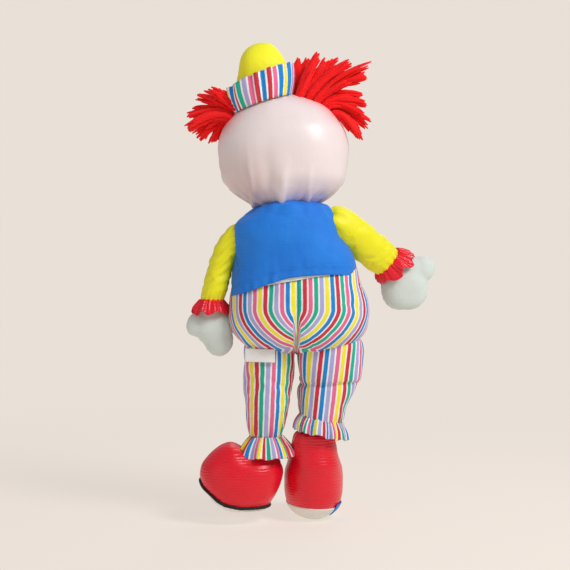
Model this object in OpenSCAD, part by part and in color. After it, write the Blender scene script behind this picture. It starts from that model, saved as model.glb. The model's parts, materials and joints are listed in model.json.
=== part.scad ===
// Stuffed cloth hand puppet of a clown, standing, with its left arm down and its right arm out.
// The puppet faces -Y. Its left side is +X. The origin is the middle of the hand pocket's mouth.

/* [Head] */
// Width of the stuffed head
head_w = 157; // [120:1:200]
// Depth of the stuffed head, face to back
head_d = 110; // [80:1:140]
// Height of the stuffed head
head_h = 126; // [100:1:170]
// Diameter of the pompom nose
nose_d = 20; // [12:1:28]

/* [Hat and hair] */
// Width of the hat's crown at its brim
hat_w = 64; // [45:1:80]
// Height of the crown above the head
hat_h = 62; // [40:1:90]
// Height of the gathered brim
brim_h = 22; // [14:1:32]
// Lean of the hat to the puppet's left, in degrees
hat_lean = 18; // [0:1:30]
// Spread of the left hair tuft, root to tip
left_hair_len = 58; // [35:1:75]
// Spread of the right hair tuft, root to tip
right_hair_len = 66; // [35:1:80]

/* [Torso] */
// Width of the vest at its hem
torso_w = 138; // [110:1:170]
// Depth of the vest at its hem
torso_d = 100; // [86:1:130]
// Height from the vest's hem to its neckline
torso_h = 92; // [78:1:125]
// Tilt of the waist, lower on the puppet's left, in degrees
waist_tilt = 9.5; // [0:0.5:12]

/* [Hand pocket] */
// Width of the pocket that the hand goes into
pocket_w = 96; // [80:1:104]
// Depth from the back of the vest to the pocket's lining
pocket_d = 44; // [32:1:54]
// Bore of the finger tube in the neck
finger_d = 18; // [14:1:21]

/* [Arms] */
// Distance from the shoulder's middle to the wrist
arm_len = 72; // [55:1:95]
// Width of the sleeve at the wrist, seen flat
wrist_w = 44; // [34:1:52]
// Depth of the sleeve at the wrist
wrist_d = 32; // [24:1:40]
// Length of a hand past the wrist
hand_len = 62; // [45:1:80]
// Width of a hand without its thumb
hand_w = 50; // [36:1:62]
// Thickness of a hand
hand_t = 31; // [20:1:38]
// Width of the cuff's frill
cuff_len = 20; // [12:1:28]

/* [Seat and legs] */
// Width of the stuffed seat
seat_w = 158; // [130:1:190]
// Depth of the stuffed seat
seat_d = 112; // [90:1:135]
// Height of the stuffed seat
seat_h = 84; // [70:1:110]
// Width of the left leg
left_leg_w = 57; // [44:1:62]
// Width of the right leg
right_leg_w = 72; // [48:1:76]
// Distance from the hip to the ankle
leg_len = 112; // [90:1:150]

/* [Shoes] */
// Length of a shoe
shoe_len = 102; // [80:1:130]
// Width of a shoe
shoe_w = 70; // [54:1:84]
// Height of a shoe from its sole to the ankle
shoe_h = 80; // [64:1:100]

/* [Cloth] */
// Thickness of the cloth with its seam allowance
cloth = 1.2; // [0.8:0.1:2]
// Gap between a cloth cover and its stuffing
fit = 0.2; // [0.1:0.1:0.4]
// Gap between pieces that move past each other
play = 0.6; // [0.4:0.1:1]

/* [Hidden] */
$fn = 32;
LEFT = 1;
RIGHT = -1;
big = 1200;                                 // larger than any piece
sides = 18;                                 // corners of a loft's ring

// Colours
vest_blue = [0.15, 0.53, 0.88];
sleeve_yellow = [0.92, 0.92, 0.1];
satin_red = [0.88, 0.07, 0.17];
stripe_red = [0.8, 0.35, 0.45];
skin = [0.89, 0.84, 0.84];
white = [0.95, 0.95, 0.93];
black = [0.1, 0.1, 0.1];

// Each profile row is [share of height, share of width, share of depth, sideways shift, forward shift]
torso_profile = [
    [-0.34, 1, 1, -1, 0], [0, 1, 1, -1, 0], [0.27, 0.985, 1, -1, 0], [0.5, 0.92, 0.95, 1, 0],
    [0.68, 0.84, 0.88, 3, 0], [0.82, 0.72, 0.78, 4, 0], [0.92, 0.55, 0.62, 5, 0], [1, 0.34, 0.46, 5, 0]
];
seat_profile = [
    [-0.02, 0.74, 0.3, 0, -30], [-0.12, 0.88, 0.6, 0, -15], [-0.24, 0.96, 0.86, -1, -3],
    [-0.47, 1, 1, -1.5, 0], [-0.68, 0.9, 0.94, -1.5, 0], [-0.86, 0.64, 0.72, -1.5, 0],
    [-0.95, 0.4, 0.48, -1.5, 0]
];
head_profile = [
    [0.045, 0.42, 0.42, 0, 0], [0.1, 0.62, 0.64, 0, 0], [0.19, 0.8, 0.82, 0, 0],
    [0.3, 0.93, 0.94, 0, 0], [0.44, 1, 1, 0, 0], [0.58, 0.99, 1, 0, 0], [0.7, 0.93, 0.95, 0, 0],
    [0.82, 0.79, 0.83, 0, 0], [0.91, 0.6, 0.64, 0, 0], [0.97, 0.35, 0.4, 0, 0], [1, 0.12, 0.14, 0, 0]
];
crown_profile = [
    [-0.35, 0.9, 0.9, 0, 0], [0, 1, 1, 0, 0], [0.3, 0.93, 0.93, 0, 0], [0.55, 0.78, 0.78, 0, 0],
    [0.78, 0.57, 0.57, 0, 0], [0.93, 0.34, 0.34, 0, 0], [1, 0.12, 0.12, 0, 0]
];
shoe_profile = [
    [0, 0.62, 0.72, 0.29, 0], [0.1, 0.76, 0.9, 0.29, 0], [0.26, 0.9, 1, 0.29, 0],
    [0.52, 1, 1, 0.28, 0], [0.72, 0.98, 0.9, 0.24, 0], [0.86, 0.86, 0.8, 0.17, 0],
    [0.95, 0.66, 0.72, 0.11, 0], [1.02, 0.42, 0.58, 0.02, 0]
];

// Where things are, in the body's own frame: Z = 0 is the hem, Y = 0 the middle of the depth
pocket_front = torso_d / 2 - pocket_d;      // the lining's face
mouth_y = (pocket_front + torso_d / 2) / 2; // middle of the pocket's mouth
neck_at = [5, 0, torso_h + 2];
neck_r = 20;
head_base = torso_h + 3;
head_at = [10, 0, head_base];
shoulder_socket_r = 29.6;
left_shoulder_at = [torso_w / 2 - 7, 0, torso_h * 0.565];
right_shoulder_at = [-torso_w / 2 + 10, 0, torso_h * 0.695];
right_arm_out = 57;                         // degrees from straight down
right_arm_forward = 24;
left_hand_lean = -3;
right_hand_lean = -10;
left_hip_at = [27, 0, -seat_h * 0.86];
right_hip_at = [-44, 0, -seat_h * 0.84];
right_leg_lean = -6;
ankle_r = 16;
left_ankle_at = left_hip_at + [3, 0, -leg_len];
right_ankle_at = right_hip_at + [leg_len * sin(-right_leg_lean), 0, -leg_len * cos(right_leg_lean)];
right_foot_pitch = 11;                      // toe down
sole_t = 4;

// ---- Lofts ----

function at_height(profile, h, w, d) = [
    for (p = profile) [p[0] * h, p[1] * w / 2, p[2] * d / 2, p[3], p[4]]
];

// The same rows, moved outward by t; the end rows move out or in as well
function grown(rows, t) = [
    for (i = [0 : len(rows) - 1])
        let (r = rows[i], up = rows[len(rows) - 1][0] > rows[0][0] ? 1 : -1,
             end = i == 0 ? -up : i == len(rows) - 1 ? up : 0)
        [r[0] + end * t, max(1, r[1] + t), max(1, r[2] + t), r[3], r[4]]
];

function ring(row, power) = [
    for (i = [0 : sides - 1])
        let (a = 360 * (i + 0.5) / sides, c = cos(a), s = sin(a))
        [row[3] + row[1] * sign(c) * pow(abs(c), 2 / power),
         row[4] + row[2] * sign(s) * pow(abs(s), 2 / power), row[0]]
];

// A closed solid through the rows, which run from the bottom up or from the top down
module loft(rows, power = 2) {
    ordered = rows[0][0] < rows[1][0] ? rows : [for (i = [len(rows) - 1 : -1 : 0]) rows[i]];
    n = len(ordered);
    points = [for (row = ordered) each ring(row, power)];
    walls = [
        for (r = [0 : n - 2], i = [0 : sides - 1])
            let (j = (i + 1) % sides, a = r * sides, b = (r + 1) * sides)
            each [[a + i, b + j, a + j], [a + i, b + i, b + j]]
    ];
    bottom = [for (i = [0 : sides - 1]) i];
    top = [for (i = [sides - 1 : -1 : 0]) (n - 1) * sides + i];
    polyhedron(points, concat([bottom], walls, [top]), convexity = 4);
}

// An egg-shaped solid centred on its middle
module pod(w, d, h, power = 2) {
    steps = 6;
    loft([
        for (k = [0 : steps])
            let (a = -80 + 160 * k / steps)
            [h / 2 * sin(a) / sin(80), w / 2 * cos(a), d / 2 * cos(a), 0, 0]
    ], power);
}

module half(side) translate([side * big / 2, 0, 0]) cube(big, center = true);
module behind(y) translate([-big / 2, y, -big / 2]) cube(big);
module in_front(y) translate([-big / 2, y - big, -big / 2]) cube(big);
module above(z) translate([-big / 2, -big / 2, z]) cube(big);

// Moves a piece from the body's own frame to the part's frame
module placed() translate([0, -mouth_y, 0]) children();

// ---- Torso ----

torso_rows = at_height(torso_profile, torso_h, torso_w, torso_d);
torso_power = 2.4;

module torso_form(t = 0) loft(grown(torso_rows, t), torso_power);

module waist_frame() rotate([0, waist_tilt, 0]) children();

// Room for the shoulders and the neck to turn
module torso_sockets() {
    translate(left_shoulder_at) sphere(r = shoulder_socket_r);
    translate(right_shoulder_at) sphere(r = shoulder_socket_r);
    translate(neck_at) sphere(r = neck_r + play);
}

// The inside of the pocket, open at the back and at the hem
module pocket_space(t = 0) {
    w = pocket_w / 2;
    d = torso_d * 0.6;
    y = pocket_front + d;
    loft(grown([
        [-torso_h * 0.5, w, d, 0, y], [torso_h * 0.4, w, d, 0, y], [torso_h * 0.58, w * 0.84, d, 0, y],
        [torso_h * 0.72, w * 0.58, d, 0, y], [torso_h * 0.8, w * 0.3, d, 0, y]
    ], t), 6);
}

// Everything of a vest shell above the tilted hem
module vest_shell(inner = cloth) {
    difference() {
        intersection() {
            torso_form();
            waist_frame() above(0);
        }
        torso_form(-inner);
        torso_sockets();
    }
}

module vest_back() color(vest_blue) placed() intersection() {
    vest_shell();
    behind(fit);
}

vest_gap = 44;                              // width of the shirt that shows between the fronts

module vest_front(side) color(vest_blue) placed() intersection() {
    vest_shell();
    in_front(-fit);
    translate([side * vest_gap / 2, 0, 0]) half(side);
}

module shirt_front() color(sleeve_yellow) placed() intersection() {
    vest_shell();
    in_front(-fit);
    cube([vest_gap - 2 * fit, big, big], center = true);
}

button_d = 12;
button_t = 2.2;
module shirt_buttons() color(satin_red) placed() intersection() {
    difference() {
        torso_form(fit + button_t);
        torso_form(fit);
    }
    for (level = [0.22, 0.44, 0.66])
        translate([0, 0, torso_h * level]) rotate([90, 0, 0]) cylinder(d = button_d, h = torso_d);
}

elastic_h = 6;
module hem_elastic() color(white) placed() intersection() {
    difference() {
        torso_form(-cloth - fit);
        torso_form(-cloth * 2 - fit);
        torso_sockets();
    }
    waist_frame() translate([-pocket_w / 2 + cloth + 1, 0, 2])
        cube([pocket_w - 2 * cloth - 2, torso_d, elastic_h]);
    behind(pocket_front + pocket_d / 2);
}

module chest_fill() color(white) placed() difference() {
    intersection() {
        torso_form(-cloth - fit);
        waist_frame() above(3);
    }
    pocket_space(cloth + fit);
    torso_sockets();
    cube([big, 2 * fit, 2 * 3], center = true);
}

module pocket_lining() color(vest_blue) placed() difference() {
    intersection() {
        torso_form(-cloth - fit);
        waist_frame() above(2);
        pocket_space(cloth);
    }
    pocket_space();
    torso_sockets();
}

// ---- Neck and head ----

finger_wall = 2;
finger_h = 16;
tube_reach = norm([finger_d / 2 + finger_wall, finger_h / 2]);

module finger_tube() color(white) placed() translate(neck_at) difference() {
    cylinder(d = finger_d + 2 * finger_wall, h = finger_h, center = true);
    cylinder(d = finger_d, h = finger_h + 2, center = true);
}

head_rows = at_height(head_profile, head_h, head_w, head_d);
head_power = 2.15;
module head_form(t = 0) translate(head_at) loft(grown(head_rows, t), head_power);

// Bore for the finger, and room for the tube to turn
module finger_bore() translate(neck_at) {
    sphere(r = tube_reach + play);
    cylinder(d = finger_d, h = head_h * 0.45);
    translate([0, 0, -big / 2]) cylinder(d = finger_d + 12, h = big / 2);
}

module head_fill() color(white) placed() difference() {
    union() {
        head_form(-cloth - fit);
        translate(neck_at) sphere(r = neck_r);
    }
    finger_bore();
}

module head_skin() difference() {
    head_form();
    head_form(-cloth);
    translate(neck_at) sphere(r = neck_r + fit);
}

module head_front() color(skin) placed() intersection() {
    head_skin();
    in_front(-fit);
}

module head_back() color(skin) placed() intersection() {
    head_skin();
    behind(fit);
}

// Felt shapes lying on the face; their outlines are drawn as seen from the front
felt_t = 1.4;
module felt(level) intersection() {
    difference() {
        head_form(fit + felt_t);
        head_form(fit);
    }
    translate([head_at[0], 0, head_base + head_h * level]) rotate([90, 0, 0])
        linear_extrude(height = head_d) children();
}

eye_w = 11;
eye_h = 17;
module eyes() color(black) placed() felt(0.56)
    for (side = [LEFT, RIGHT])
        translate([side * head_w * 0.15, 0]) scale([eye_w / eye_h, 1]) circle(d = eye_h);

cheek_d = 20;
module cheeks() color([0.95, 0.45, 0.5]) placed() felt(0.38)
    for (side = [LEFT, RIGHT]) translate([side * head_w * 0.25, 0]) circle(d = cheek_d);

// The flat between two corners of the head's ring is a little nearer than the full depth
face_y = -head_d / 2 * pow(cos(180 / sides), 2 / head_power);
module nose() color(satin_red) placed()
    translate([head_at[0], face_y - nose_d / 2 - 5 * fit, head_base + head_h * 0.43]) sphere(d = nose_d);

smile_r = 34;
smile_t = 6;
module mouth() color(satin_red) placed()
    felt(0.5) intersection() {
        difference() {
            circle(r = smile_r);
            translate([0, smile_t * 0.7]) circle(r = smile_r - smile_t * 0.3);
        }
        translate([-smile_r * 0.68, -smile_r - 1]) square([smile_r * 1.36, smile_r * 0.5]);
    }

// Hair tufts fan out of the seam at the top of the head
module tuft(at, lean, w, d, len) difference() {
    translate(at) rotate([0, lean, 0]) translate([0, 0, len * 0.4]) pod(w, d, len);
    head_form(fit + 0.1);
    hat_room();
}

module hair_left() color(satin_red) placed()
    tuft([head_at[0] + head_w * 0.375, 0, head_base + head_h * 0.79], 78, 66, 40, left_hair_len);

module hair_right() color(satin_red) placed()
    tuft([head_at[0] - head_w * 0.27, 0, head_base + head_h * 0.84], -38, 86, 46, right_hair_len * 1.3);

// The hat's own frame stands on the head, leaning
hat_at = [head_at[0] + head_w * 0.155, 0, head_base + head_h * 0.93];
module hat_frame() translate(hat_at) rotate([0, hat_lean, 0]) children();

crown_rows = at_height(crown_profile, hat_h * 0.88, hat_w, hat_w * 0.86);
brim_w = hat_w + 18;
module crown_form(t = 0) hat_frame() translate([0, 0, 6]) rotate([0, -hat_lean * 0.8, 0])
    loft(grown(crown_rows, t));

brim_rows = [
    [-brim_h / 2, brim_w / 2 - 3, brim_w * 0.42 - 3, 0, 0], [0, brim_w / 2, brim_w * 0.42, 0, 0],
    [brim_h / 2, brim_w / 2 - 4, brim_w * 0.42 - 4, 0, 0]
];
module brim_form(t = 0) hat_frame() loft(grown(brim_rows, t));

// What the hair keeps clear of
module hat_room() {
    brim_form(fit + 0.1);
    crown_form(fit + 0.1);
}

module hat_crown() color(sleeve_yellow) placed() difference() {
    crown_form();
    crown_form(-cloth);
    head_form(fit + 0.1);
}

module hat_fill() color(white) placed() difference() {
    crown_form(-cloth - fit);
    head_form(fit + 0.1);
}

module hat_brim() color(stripe_red) placed() difference() {
    brim_form();
    crown_form(fit);
    head_form(fit + 0.1);
    hat_frame() translate([0, 0, -brim_h]) cylinder(r = hat_w / 2 - 6, h = brim_h * 2);
}

// ---- Arms ----

left_wrist_out = 32;                        // the left wrist stands this far out from its shoulder
wad_r = 11;                                 // the wad of stuffing in each shoulder
wrist_r = 12;

left_arm_rows = [
    [20, 6, 6, 1, 0], [14, 14, 14, 1, 0], [5, 19, 19, 0.5, 0], [-6, 18.5, 20, 2, 0],
    [-13, 15.5, 21, 8, 0], [-21, 13, 21, 18.5, 0], [-arm_len * 0.45, 14, 21, 22.5, 0],
    [-arm_len * 0.7, 15, wrist_w / 2 - 1, 27, 0], [-arm_len, wrist_d / 2, wrist_w / 2 - 3, left_wrist_out, 0]
];
right_arm_rows = [
    [20, 7, 7, 0, 0], [14, 15, 15, 0, 0], [5, 21, 20, 0, 0], [-8, 21, 20, 0, 0], [-20, 19.5, 19.5, 0, 0],
    [-arm_len * 0.55, 21, 18.5, 0, 0], [-arm_len * 0.8, wrist_w / 2 - 1, wrist_d / 2 + 1, 0, 0],
    [-arm_len, wrist_w / 2 - 1, wrist_d / 2, 0, 0]
];
left_wrist = [left_wrist_out, 0, -arm_len];
right_wrist = [0, 0, -arm_len];

module arm_frame(side) {
    if (side == LEFT)
        translate(left_shoulder_at) children();
    else
        translate(right_shoulder_at) rotate([0, right_arm_out, 0]) rotate([-right_arm_forward, 0, 0])
            children();
}

function arm_rows(side) = side == LEFT ? left_arm_rows : right_arm_rows;
function wrist_at(side) = side == LEFT ? left_wrist : right_wrist;

module shoulder_fill(side) color(white) placed() arm_frame(side) sphere(r = wad_r);

// The sleeve ends just past the wrist's middle, round a hollow for the hand's root
module arm_form(side, t = 0) difference() {
    loft(grown(arm_rows(side), t), 2.2);
    sphere(r = wad_r + play);
    translate(wrist_at(side)) sphere(r = wrist_r + play);
}

module sleeve(side) color(sleeve_yellow) placed() arm_frame(side) difference() {
    arm_form(side);
    loft(grown(arm_rows(side), -cloth), 2.2);
}

module arm_fill(side) color(white) placed() arm_frame(side) arm_form(side, -cloth - fit);

module hand_frame(side) arm_frame(side) translate(wrist_at(side))
    rotate([0, side == LEFT ? left_hand_lean : right_hand_lean, 0]) children();

cuff_gap = 4;                               // room for the hand's root inside the frill
module cuff(side) color(satin_red) placed() arm_frame(side) translate(wrist_at(side)) {
    root = side == LEFT ? [wrist_d / 2, wrist_w / 2 - 3] : [wrist_w / 2 - 1, wrist_d / 2];
    flare = 10;
    rows = [[-1.5, root[0], root[1], 0, 0], [-cuff_len * 0.5, root[0] + 3, root[1] + 4, 0, 0],
            [-cuff_len, root[0] + flare - 2, root[1] + flare + 4, 0, 0]];
    difference() {
        loft(rows);
        loft([for (r = rows) [r[0] + (r[0] == -1.5 ? 1 : 0) - (r[0] == -cuff_len ? 1 : 0),
                              r[1] - cloth, r[2] - cloth, 0, 0]]);
    }
}

module hand_form(side, t = 0) {
    root = 9 + t;
    union() {
        translate([0, 0, -hand_len * 0.36]) cylinder(r = root, h = hand_len * 0.36 + 5);
        translate([0, 0, -hand_len * 0.65])
            pod(hand_w + 2 * t, hand_t + 2 * t, hand_len * 0.72 + 2 * t, 2.2);
        translate([side * hand_w * 0.28, 0, -hand_len * 0.56]) rotate([0, -side * 28, 0])
            pod(hand_w * 0.42 + 2 * t, hand_t * 0.66 + 2 * t, hand_len * 0.5 + 2 * t);
    }
}

hand_out = 2;                               // the left hand hangs a little away from the seat
module hand_place(side) hand_frame(side) translate([side == LEFT ? hand_out : 0, 0, 0]) children();

module hand(side) color(white) placed() hand_place(side) difference() {
    hand_form(side);
    hand_form(side, -cloth);
}

module hand_fill(side) color(white) placed() hand_place(side) hand_form(side, -cloth - fit);

// ---- Seat ----

seat_rows = at_height(seat_profile, seat_h, seat_w, seat_d);
seat_seam = -5;                             // where the centre seam runs
hip_forward = 45;
hip_back = 10;

module seat_form(t = 0) waist_frame() loft(grown(seat_rows, t), 2.2);

// Room for a leg to swing, from the back to sitting
module leg_room(at, r) translate(at) {
    sphere(r = r + 1.5);
    for (a = [-hip_back : (hip_forward + hip_back) / 3 : hip_forward])
        rotate([-a, 0, 0]) translate([0, 0, -leg_len * 0.5]) cylinder(r = r, h = leg_len * 0.5);
}

module legs_room() {
    leg_room(left_hip_at, left_leg_w / 2 + 1.5 + play);
    leg_room(right_hip_at, right_leg_w / 2 + 0.5 + play);
}

module seat_skin() difference() {
    seat_form();
    seat_form(-cloth);
    legs_room();
}

module seat_panel(side) color(stripe_red) placed() intersection() {
    seat_skin();
    translate([seat_seam + side * fit, 0, 0]) half(side);
}

module seat_fill() color(white) placed() difference() {
    seat_form(-cloth - fit);
    legs_room();
}

label_w = 34;
label_h = 14;
label_t = 0.8;
label_at = left_hip_at + [10, left_leg_w / 2 + 4.5, -4];
module care_label() color(white) placed() translate(label_at) rotate([0, 2, 0])
    translate([-label_w / 2, 0, -label_h]) cube([label_w, label_t, label_h]);

// ---- Legs ----

function leg_w(side) = side == LEFT ? left_leg_w : right_leg_w;

left_leg_rows = [
    [22, 12, 12, 0, 0], [13, 22, 21, 0, 0], [0, left_leg_w / 2, left_leg_w * 0.46, 0, 0],
    [-leg_len * 0.3, left_leg_w / 2, left_leg_w * 0.47, 0, 0],
    [-leg_len * 0.7, left_leg_w * 0.47, left_leg_w * 0.45, 1, 0],
    [-leg_len * 0.84, 20, 20, 2, 0], [-leg_len * 0.92, 15.5, 15.5, 3, 0], [-leg_len - ankle_r * 0.3, 15, 15, 3, 0],
    [-leg_len - ankle_r * 0.8, 8, 8, 3, 0]
];
right_leg_rows = [
    [26, 12, 12, 0, 0], [16, 26, 23, 0, 0], [0, right_leg_w / 2 - 1, right_leg_w * 0.42, 0, 0],
    [-leg_len * 0.3, right_leg_w / 2, right_leg_w * 0.43, 0, 0],
    [-leg_len * 0.5, right_leg_w * 0.44, right_leg_w * 0.4, 0, 0],
    [-leg_len * 0.7, right_leg_w * 0.37, right_leg_w * 0.35, 0, 0],
    [-leg_len * 0.84, 20, 20, 0, 0], [-leg_len * 0.92, 15.5, 15.5, 0, 0], [-leg_len - ankle_r * 0.3, 15, 15, 0, 0],
    [-leg_len - ankle_r * 0.8, 8, 8, 0, 0]
];

module leg_frame(side) {
    if (side == LEFT)
        translate(left_hip_at) children();
    else
        translate(right_hip_at) rotate([0, right_leg_lean, 0]) children();
}

module leg_form(side, t = 0) loft(grown(side == LEFT ? left_leg_rows : right_leg_rows, t), 2.1);

module trouser(side) color(stripe_red) placed() leg_frame(side) difference() {
    leg_form(side);
    leg_form(side, -cloth);
}

module leg_fill(side) color(white) placed() leg_frame(side) leg_form(side, -cloth - fit);

// ---- Shoes ----

module ankle_frame(side) {
    if (side == LEFT)
        translate(left_ankle_at) children();
    else
        translate(right_ankle_at) rotate([right_foot_pitch, 0, 0]) rotate([0, 0, -90]) children();
}

shoe_rows = [
    for (p = shoe_profile) [(p[0] - 1) * shoe_h, p[1] * shoe_len / 2, p[2] * shoe_w / 2,
                            p[3] * shoe_len, 0]
];
module shoe_form(t = 0) loft(grown(shoe_rows, t), 2.3);

module ankle_room() {
    sphere(r = ankle_r + play);
    cylinder(r1 = ankle_r + 2, r2 = ankle_r + 18, h = 20);
}

module shoe(side) color(satin_red) placed() ankle_frame(side) difference() {
    intersection() {
        shoe_form();
        above(-shoe_h + sole_t + fit);
    }
    shoe_form(-cloth);
    ankle_room();
}

module shoe_fill(side) color(white) placed() ankle_frame(side) difference() {
    intersection() {
        shoe_form(-cloth - fit);
        above(-shoe_h + sole_t + 2 * fit);
    }
    ankle_room();
}

module sole(side) color(white) placed() ankle_frame(side) difference() {
    shoe_form();
    above(-shoe_h + sole_t);
}

// A binding along the sole's edge; on the right shoe it is only a short patch at the heel
trim_h = 5;
trim_patch = 18;
module patch_strip() translate([-big / 2, -trim_patch / 2, -big / 2]) cube([big / 2, trim_patch, big]);

module shoe_trim(side) color(side == LEFT ? black : vest_blue) placed() ankle_frame(side) intersection() {
    difference() {
        shoe_form(1.1);
        shoe_form(fit);
    }
    translate([-big / 2, -big / 2, -shoe_h + sole_t]) cube([big, big, trim_h]);
    if (side == LEFT)
        behind(0);
    else
        translate([shoe_len * 0.1, 0, 0]) rotate([0, 0, 45]) patch_strip();
}

// The gathered hem of the trouser leg, trimmed where the shoe swings under it
frill_top = 20;
frill_low = -10;
frill_r = 28.5;                             // narrow enough for the two frills to pass each other
frill_gap = 5;                              // lets the shoe tip without touching the frill
module frill(side) color(stripe_red) placed() difference() {
    translate(side == LEFT ? left_ankle_at : right_ankle_at)
        rotate([0, side == LEFT ? 0 : right_leg_lean, 0]) rotate_extrude() polygon([
            [24, frill_top], [24 + cloth, frill_top], [frill_r + cloth, frill_low], [frill_r, frill_low]
        ]);
    ankle_frame(side) shoe_form(frill_gap);
}

vest_back();
vest_front(LEFT);  // vest_front_left
vest_front(RIGHT);  // vest_front_right
shirt_front();
shirt_buttons();
hem_elastic();
chest_fill();
pocket_lining();
finger_tube();
head_front();
head_back();
head_fill();
eyes();
cheeks();
nose();
mouth();
hair_left();
hair_right();
hat_crown();
hat_fill();
hat_brim();
shoulder_fill(LEFT);  // left_shoulder_fill
sleeve(LEFT);  // left_sleeve
arm_fill(LEFT);  // left_arm_fill
cuff(LEFT);  // left_cuff
hand(LEFT);  // left_hand
hand_fill(LEFT);  // left_hand_fill
shoulder_fill(RIGHT);  // right_shoulder_fill
sleeve(RIGHT);  // right_sleeve
arm_fill(RIGHT);  // right_arm_fill
cuff(RIGHT);  // right_cuff
hand(RIGHT);  // right_hand
hand_fill(RIGHT);  // right_hand_fill
seat_panel(LEFT);  // seat_left
seat_panel(RIGHT);  // seat_right
seat_fill();
care_label();
trouser(LEFT);  // left_trouser
leg_fill(LEFT);  // left_leg_fill
frill(LEFT);  // left_frill
shoe(LEFT);  // left_shoe
shoe_fill(LEFT);  // left_shoe_fill
sole(LEFT);  // left_sole
shoe_trim(LEFT);  // left_shoe_trim
trouser(RIGHT);  // right_trouser
leg_fill(RIGHT);  // right_leg_fill
frill(RIGHT);  // right_frill
shoe(RIGHT);  // right_shoe
shoe_fill(RIGHT);  // right_shoe_fill
sole(RIGHT);  // right_sole
shoe_trim(RIGHT);  // right_shoe_trim
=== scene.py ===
# %% [markdown]
# # A clown hand puppet, seen from behind
# The puppet is a soft doll of cotton and satin: a round head with yarn hair and a little hat, a blue vest
# over yellow sleeves, striped trousers, and big red shoes. In this model a hand goes in under the back of
# the vest.
# The CAD model gives every place and every joint. This script sews the cloth pieces round it.

# %% Load the frame
import json
import math

import bpy
import numpy as np
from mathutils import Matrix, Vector


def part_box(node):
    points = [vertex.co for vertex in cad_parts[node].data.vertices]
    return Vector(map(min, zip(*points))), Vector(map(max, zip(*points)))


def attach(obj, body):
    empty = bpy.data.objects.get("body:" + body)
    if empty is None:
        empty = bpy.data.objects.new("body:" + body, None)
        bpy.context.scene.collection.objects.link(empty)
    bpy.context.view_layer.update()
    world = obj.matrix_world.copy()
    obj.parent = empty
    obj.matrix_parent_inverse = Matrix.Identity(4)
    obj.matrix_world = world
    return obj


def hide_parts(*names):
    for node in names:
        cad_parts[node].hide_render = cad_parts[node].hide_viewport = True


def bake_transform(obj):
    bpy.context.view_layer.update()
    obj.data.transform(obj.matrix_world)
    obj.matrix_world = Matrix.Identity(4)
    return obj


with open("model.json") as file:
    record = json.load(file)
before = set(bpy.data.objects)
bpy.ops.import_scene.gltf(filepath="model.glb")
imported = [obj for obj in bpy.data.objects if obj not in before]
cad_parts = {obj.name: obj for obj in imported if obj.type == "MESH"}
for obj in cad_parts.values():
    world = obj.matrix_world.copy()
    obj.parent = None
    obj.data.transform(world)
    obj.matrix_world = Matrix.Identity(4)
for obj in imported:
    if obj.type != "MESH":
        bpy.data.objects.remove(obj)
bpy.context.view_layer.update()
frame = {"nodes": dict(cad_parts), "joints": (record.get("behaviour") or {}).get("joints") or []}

# %% [markdown]
# ## Measuring from the frame
# A maker works in millimetres and from the middle of the body, with zero at the vest's hem. The joints and
# the boxes of the CAD nodes say where that middle is and where each limb turns, so they are read first.

# %% Landmarks
def joint_at(name):
    found = next(j for j in frame["joints"] if j["name"] == name)
    return np.array(found["pos_m"]) * 1000 - middle

middle = np.zeros(3)  # joint_at measures from it, so it starts at the frame's own zero
middle = joint_at("neck_turn") * [0, 1, 0]
neck = joint_at("neck_turn")
shoulder = {side: joint_at(side + "_arm_raise") for side in ("left", "right")}
wrist = {side: joint_at(side + "_wrist") for side in ("left", "right")}
hip = {side: joint_at(side + "_hip") for side in ("left", "right")}
ankle = {side: joint_at(side + "_ankle") for side in ("left", "right")}

def node_box(name):
    low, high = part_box(name)
    return np.array(low) * 1000 - middle, np.array(high) * 1000 - middle

for name, place in (("neck", neck), ("right wrist", wrist["right"]), ("left ankle", ankle["left"])):
    print(name, np.round(place, 1))

# %% [markdown]
# ## Shapes from rows
# A stuffed piece is a bag sewn from flat panels. Its shape is given as rows, one above the other, each with
# its reach to the left, right, back and front. A smooth curve through the rows makes a grid of points.
# The grid keeps its order, so a stripe or a seam can follow the cloth, which a remeshed blob can't do.

# %% Rows to a grid
def smooth_rows(rows, count):
    rows = np.array(rows, float)
    along = np.concatenate([[0], np.cumsum(np.linalg.norm(np.diff(rows[:, :5], axis=0), axis=1))])
    slope = np.gradient(rows, along, axis=0)
    want = np.linspace(0, along[-1], count)
    k = np.clip(np.searchsorted(along, want) - 1, 0, len(along) - 2)
    gap = (along[k + 1] - along[k])[:, None]
    s = (want - along[k])[:, None] / gap
    return ((2 * s**3 - 3 * s**2 + 1) * rows[k] + (s**3 - 2 * s**2 + s) * gap * slope[k]
            + (3 * s**2 - 2 * s**3) * rows[k + 1] + (s**3 - s**2) * gap * slope[k + 1])

def rings(rows, up=48, around=96, power=2.2):
    """Rows are (height, left, right, back, front, middle x, middle y). Angle 0 is the centre back, and the
    grid starts and ends at the centre front."""
    rows = smooth_rows(rows, up)
    angle = np.linspace(-math.pi, math.pi, around, endpoint=False)
    s, c = np.sin(angle), np.cos(angle)
    s, c = (np.sign(v) * np.abs(v) ** (2 / power) for v in (s, c))
    wide = np.where(s > 0, rows[:, 2:3], rows[:, 1:2])
    deep = np.where(c > 0, rows[:, 3:4], rows[:, 4:5])
    grid = np.stack([rows[:, 5:6] - s * wide, rows[:, 6:7] + c * deep,
                     np.repeat(rows[:, :1], len(angle), axis=1)], axis=2)
    return grid, angle

def outward(grid, closed=True):
    if closed:
        round_step = np.roll(grid, -1, axis=1) - np.roll(grid, 1, axis=1)
    else:
        round_step = np.gradient(grid, axis=1)
    up_step = np.gradient(grid, axis=0)
    n = np.cross(up_step, round_step)
    n = n / np.maximum(np.linalg.norm(n, axis=2, keepdims=True), 1e-9)
    return -n if faces_in(grid, n) else n

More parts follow.
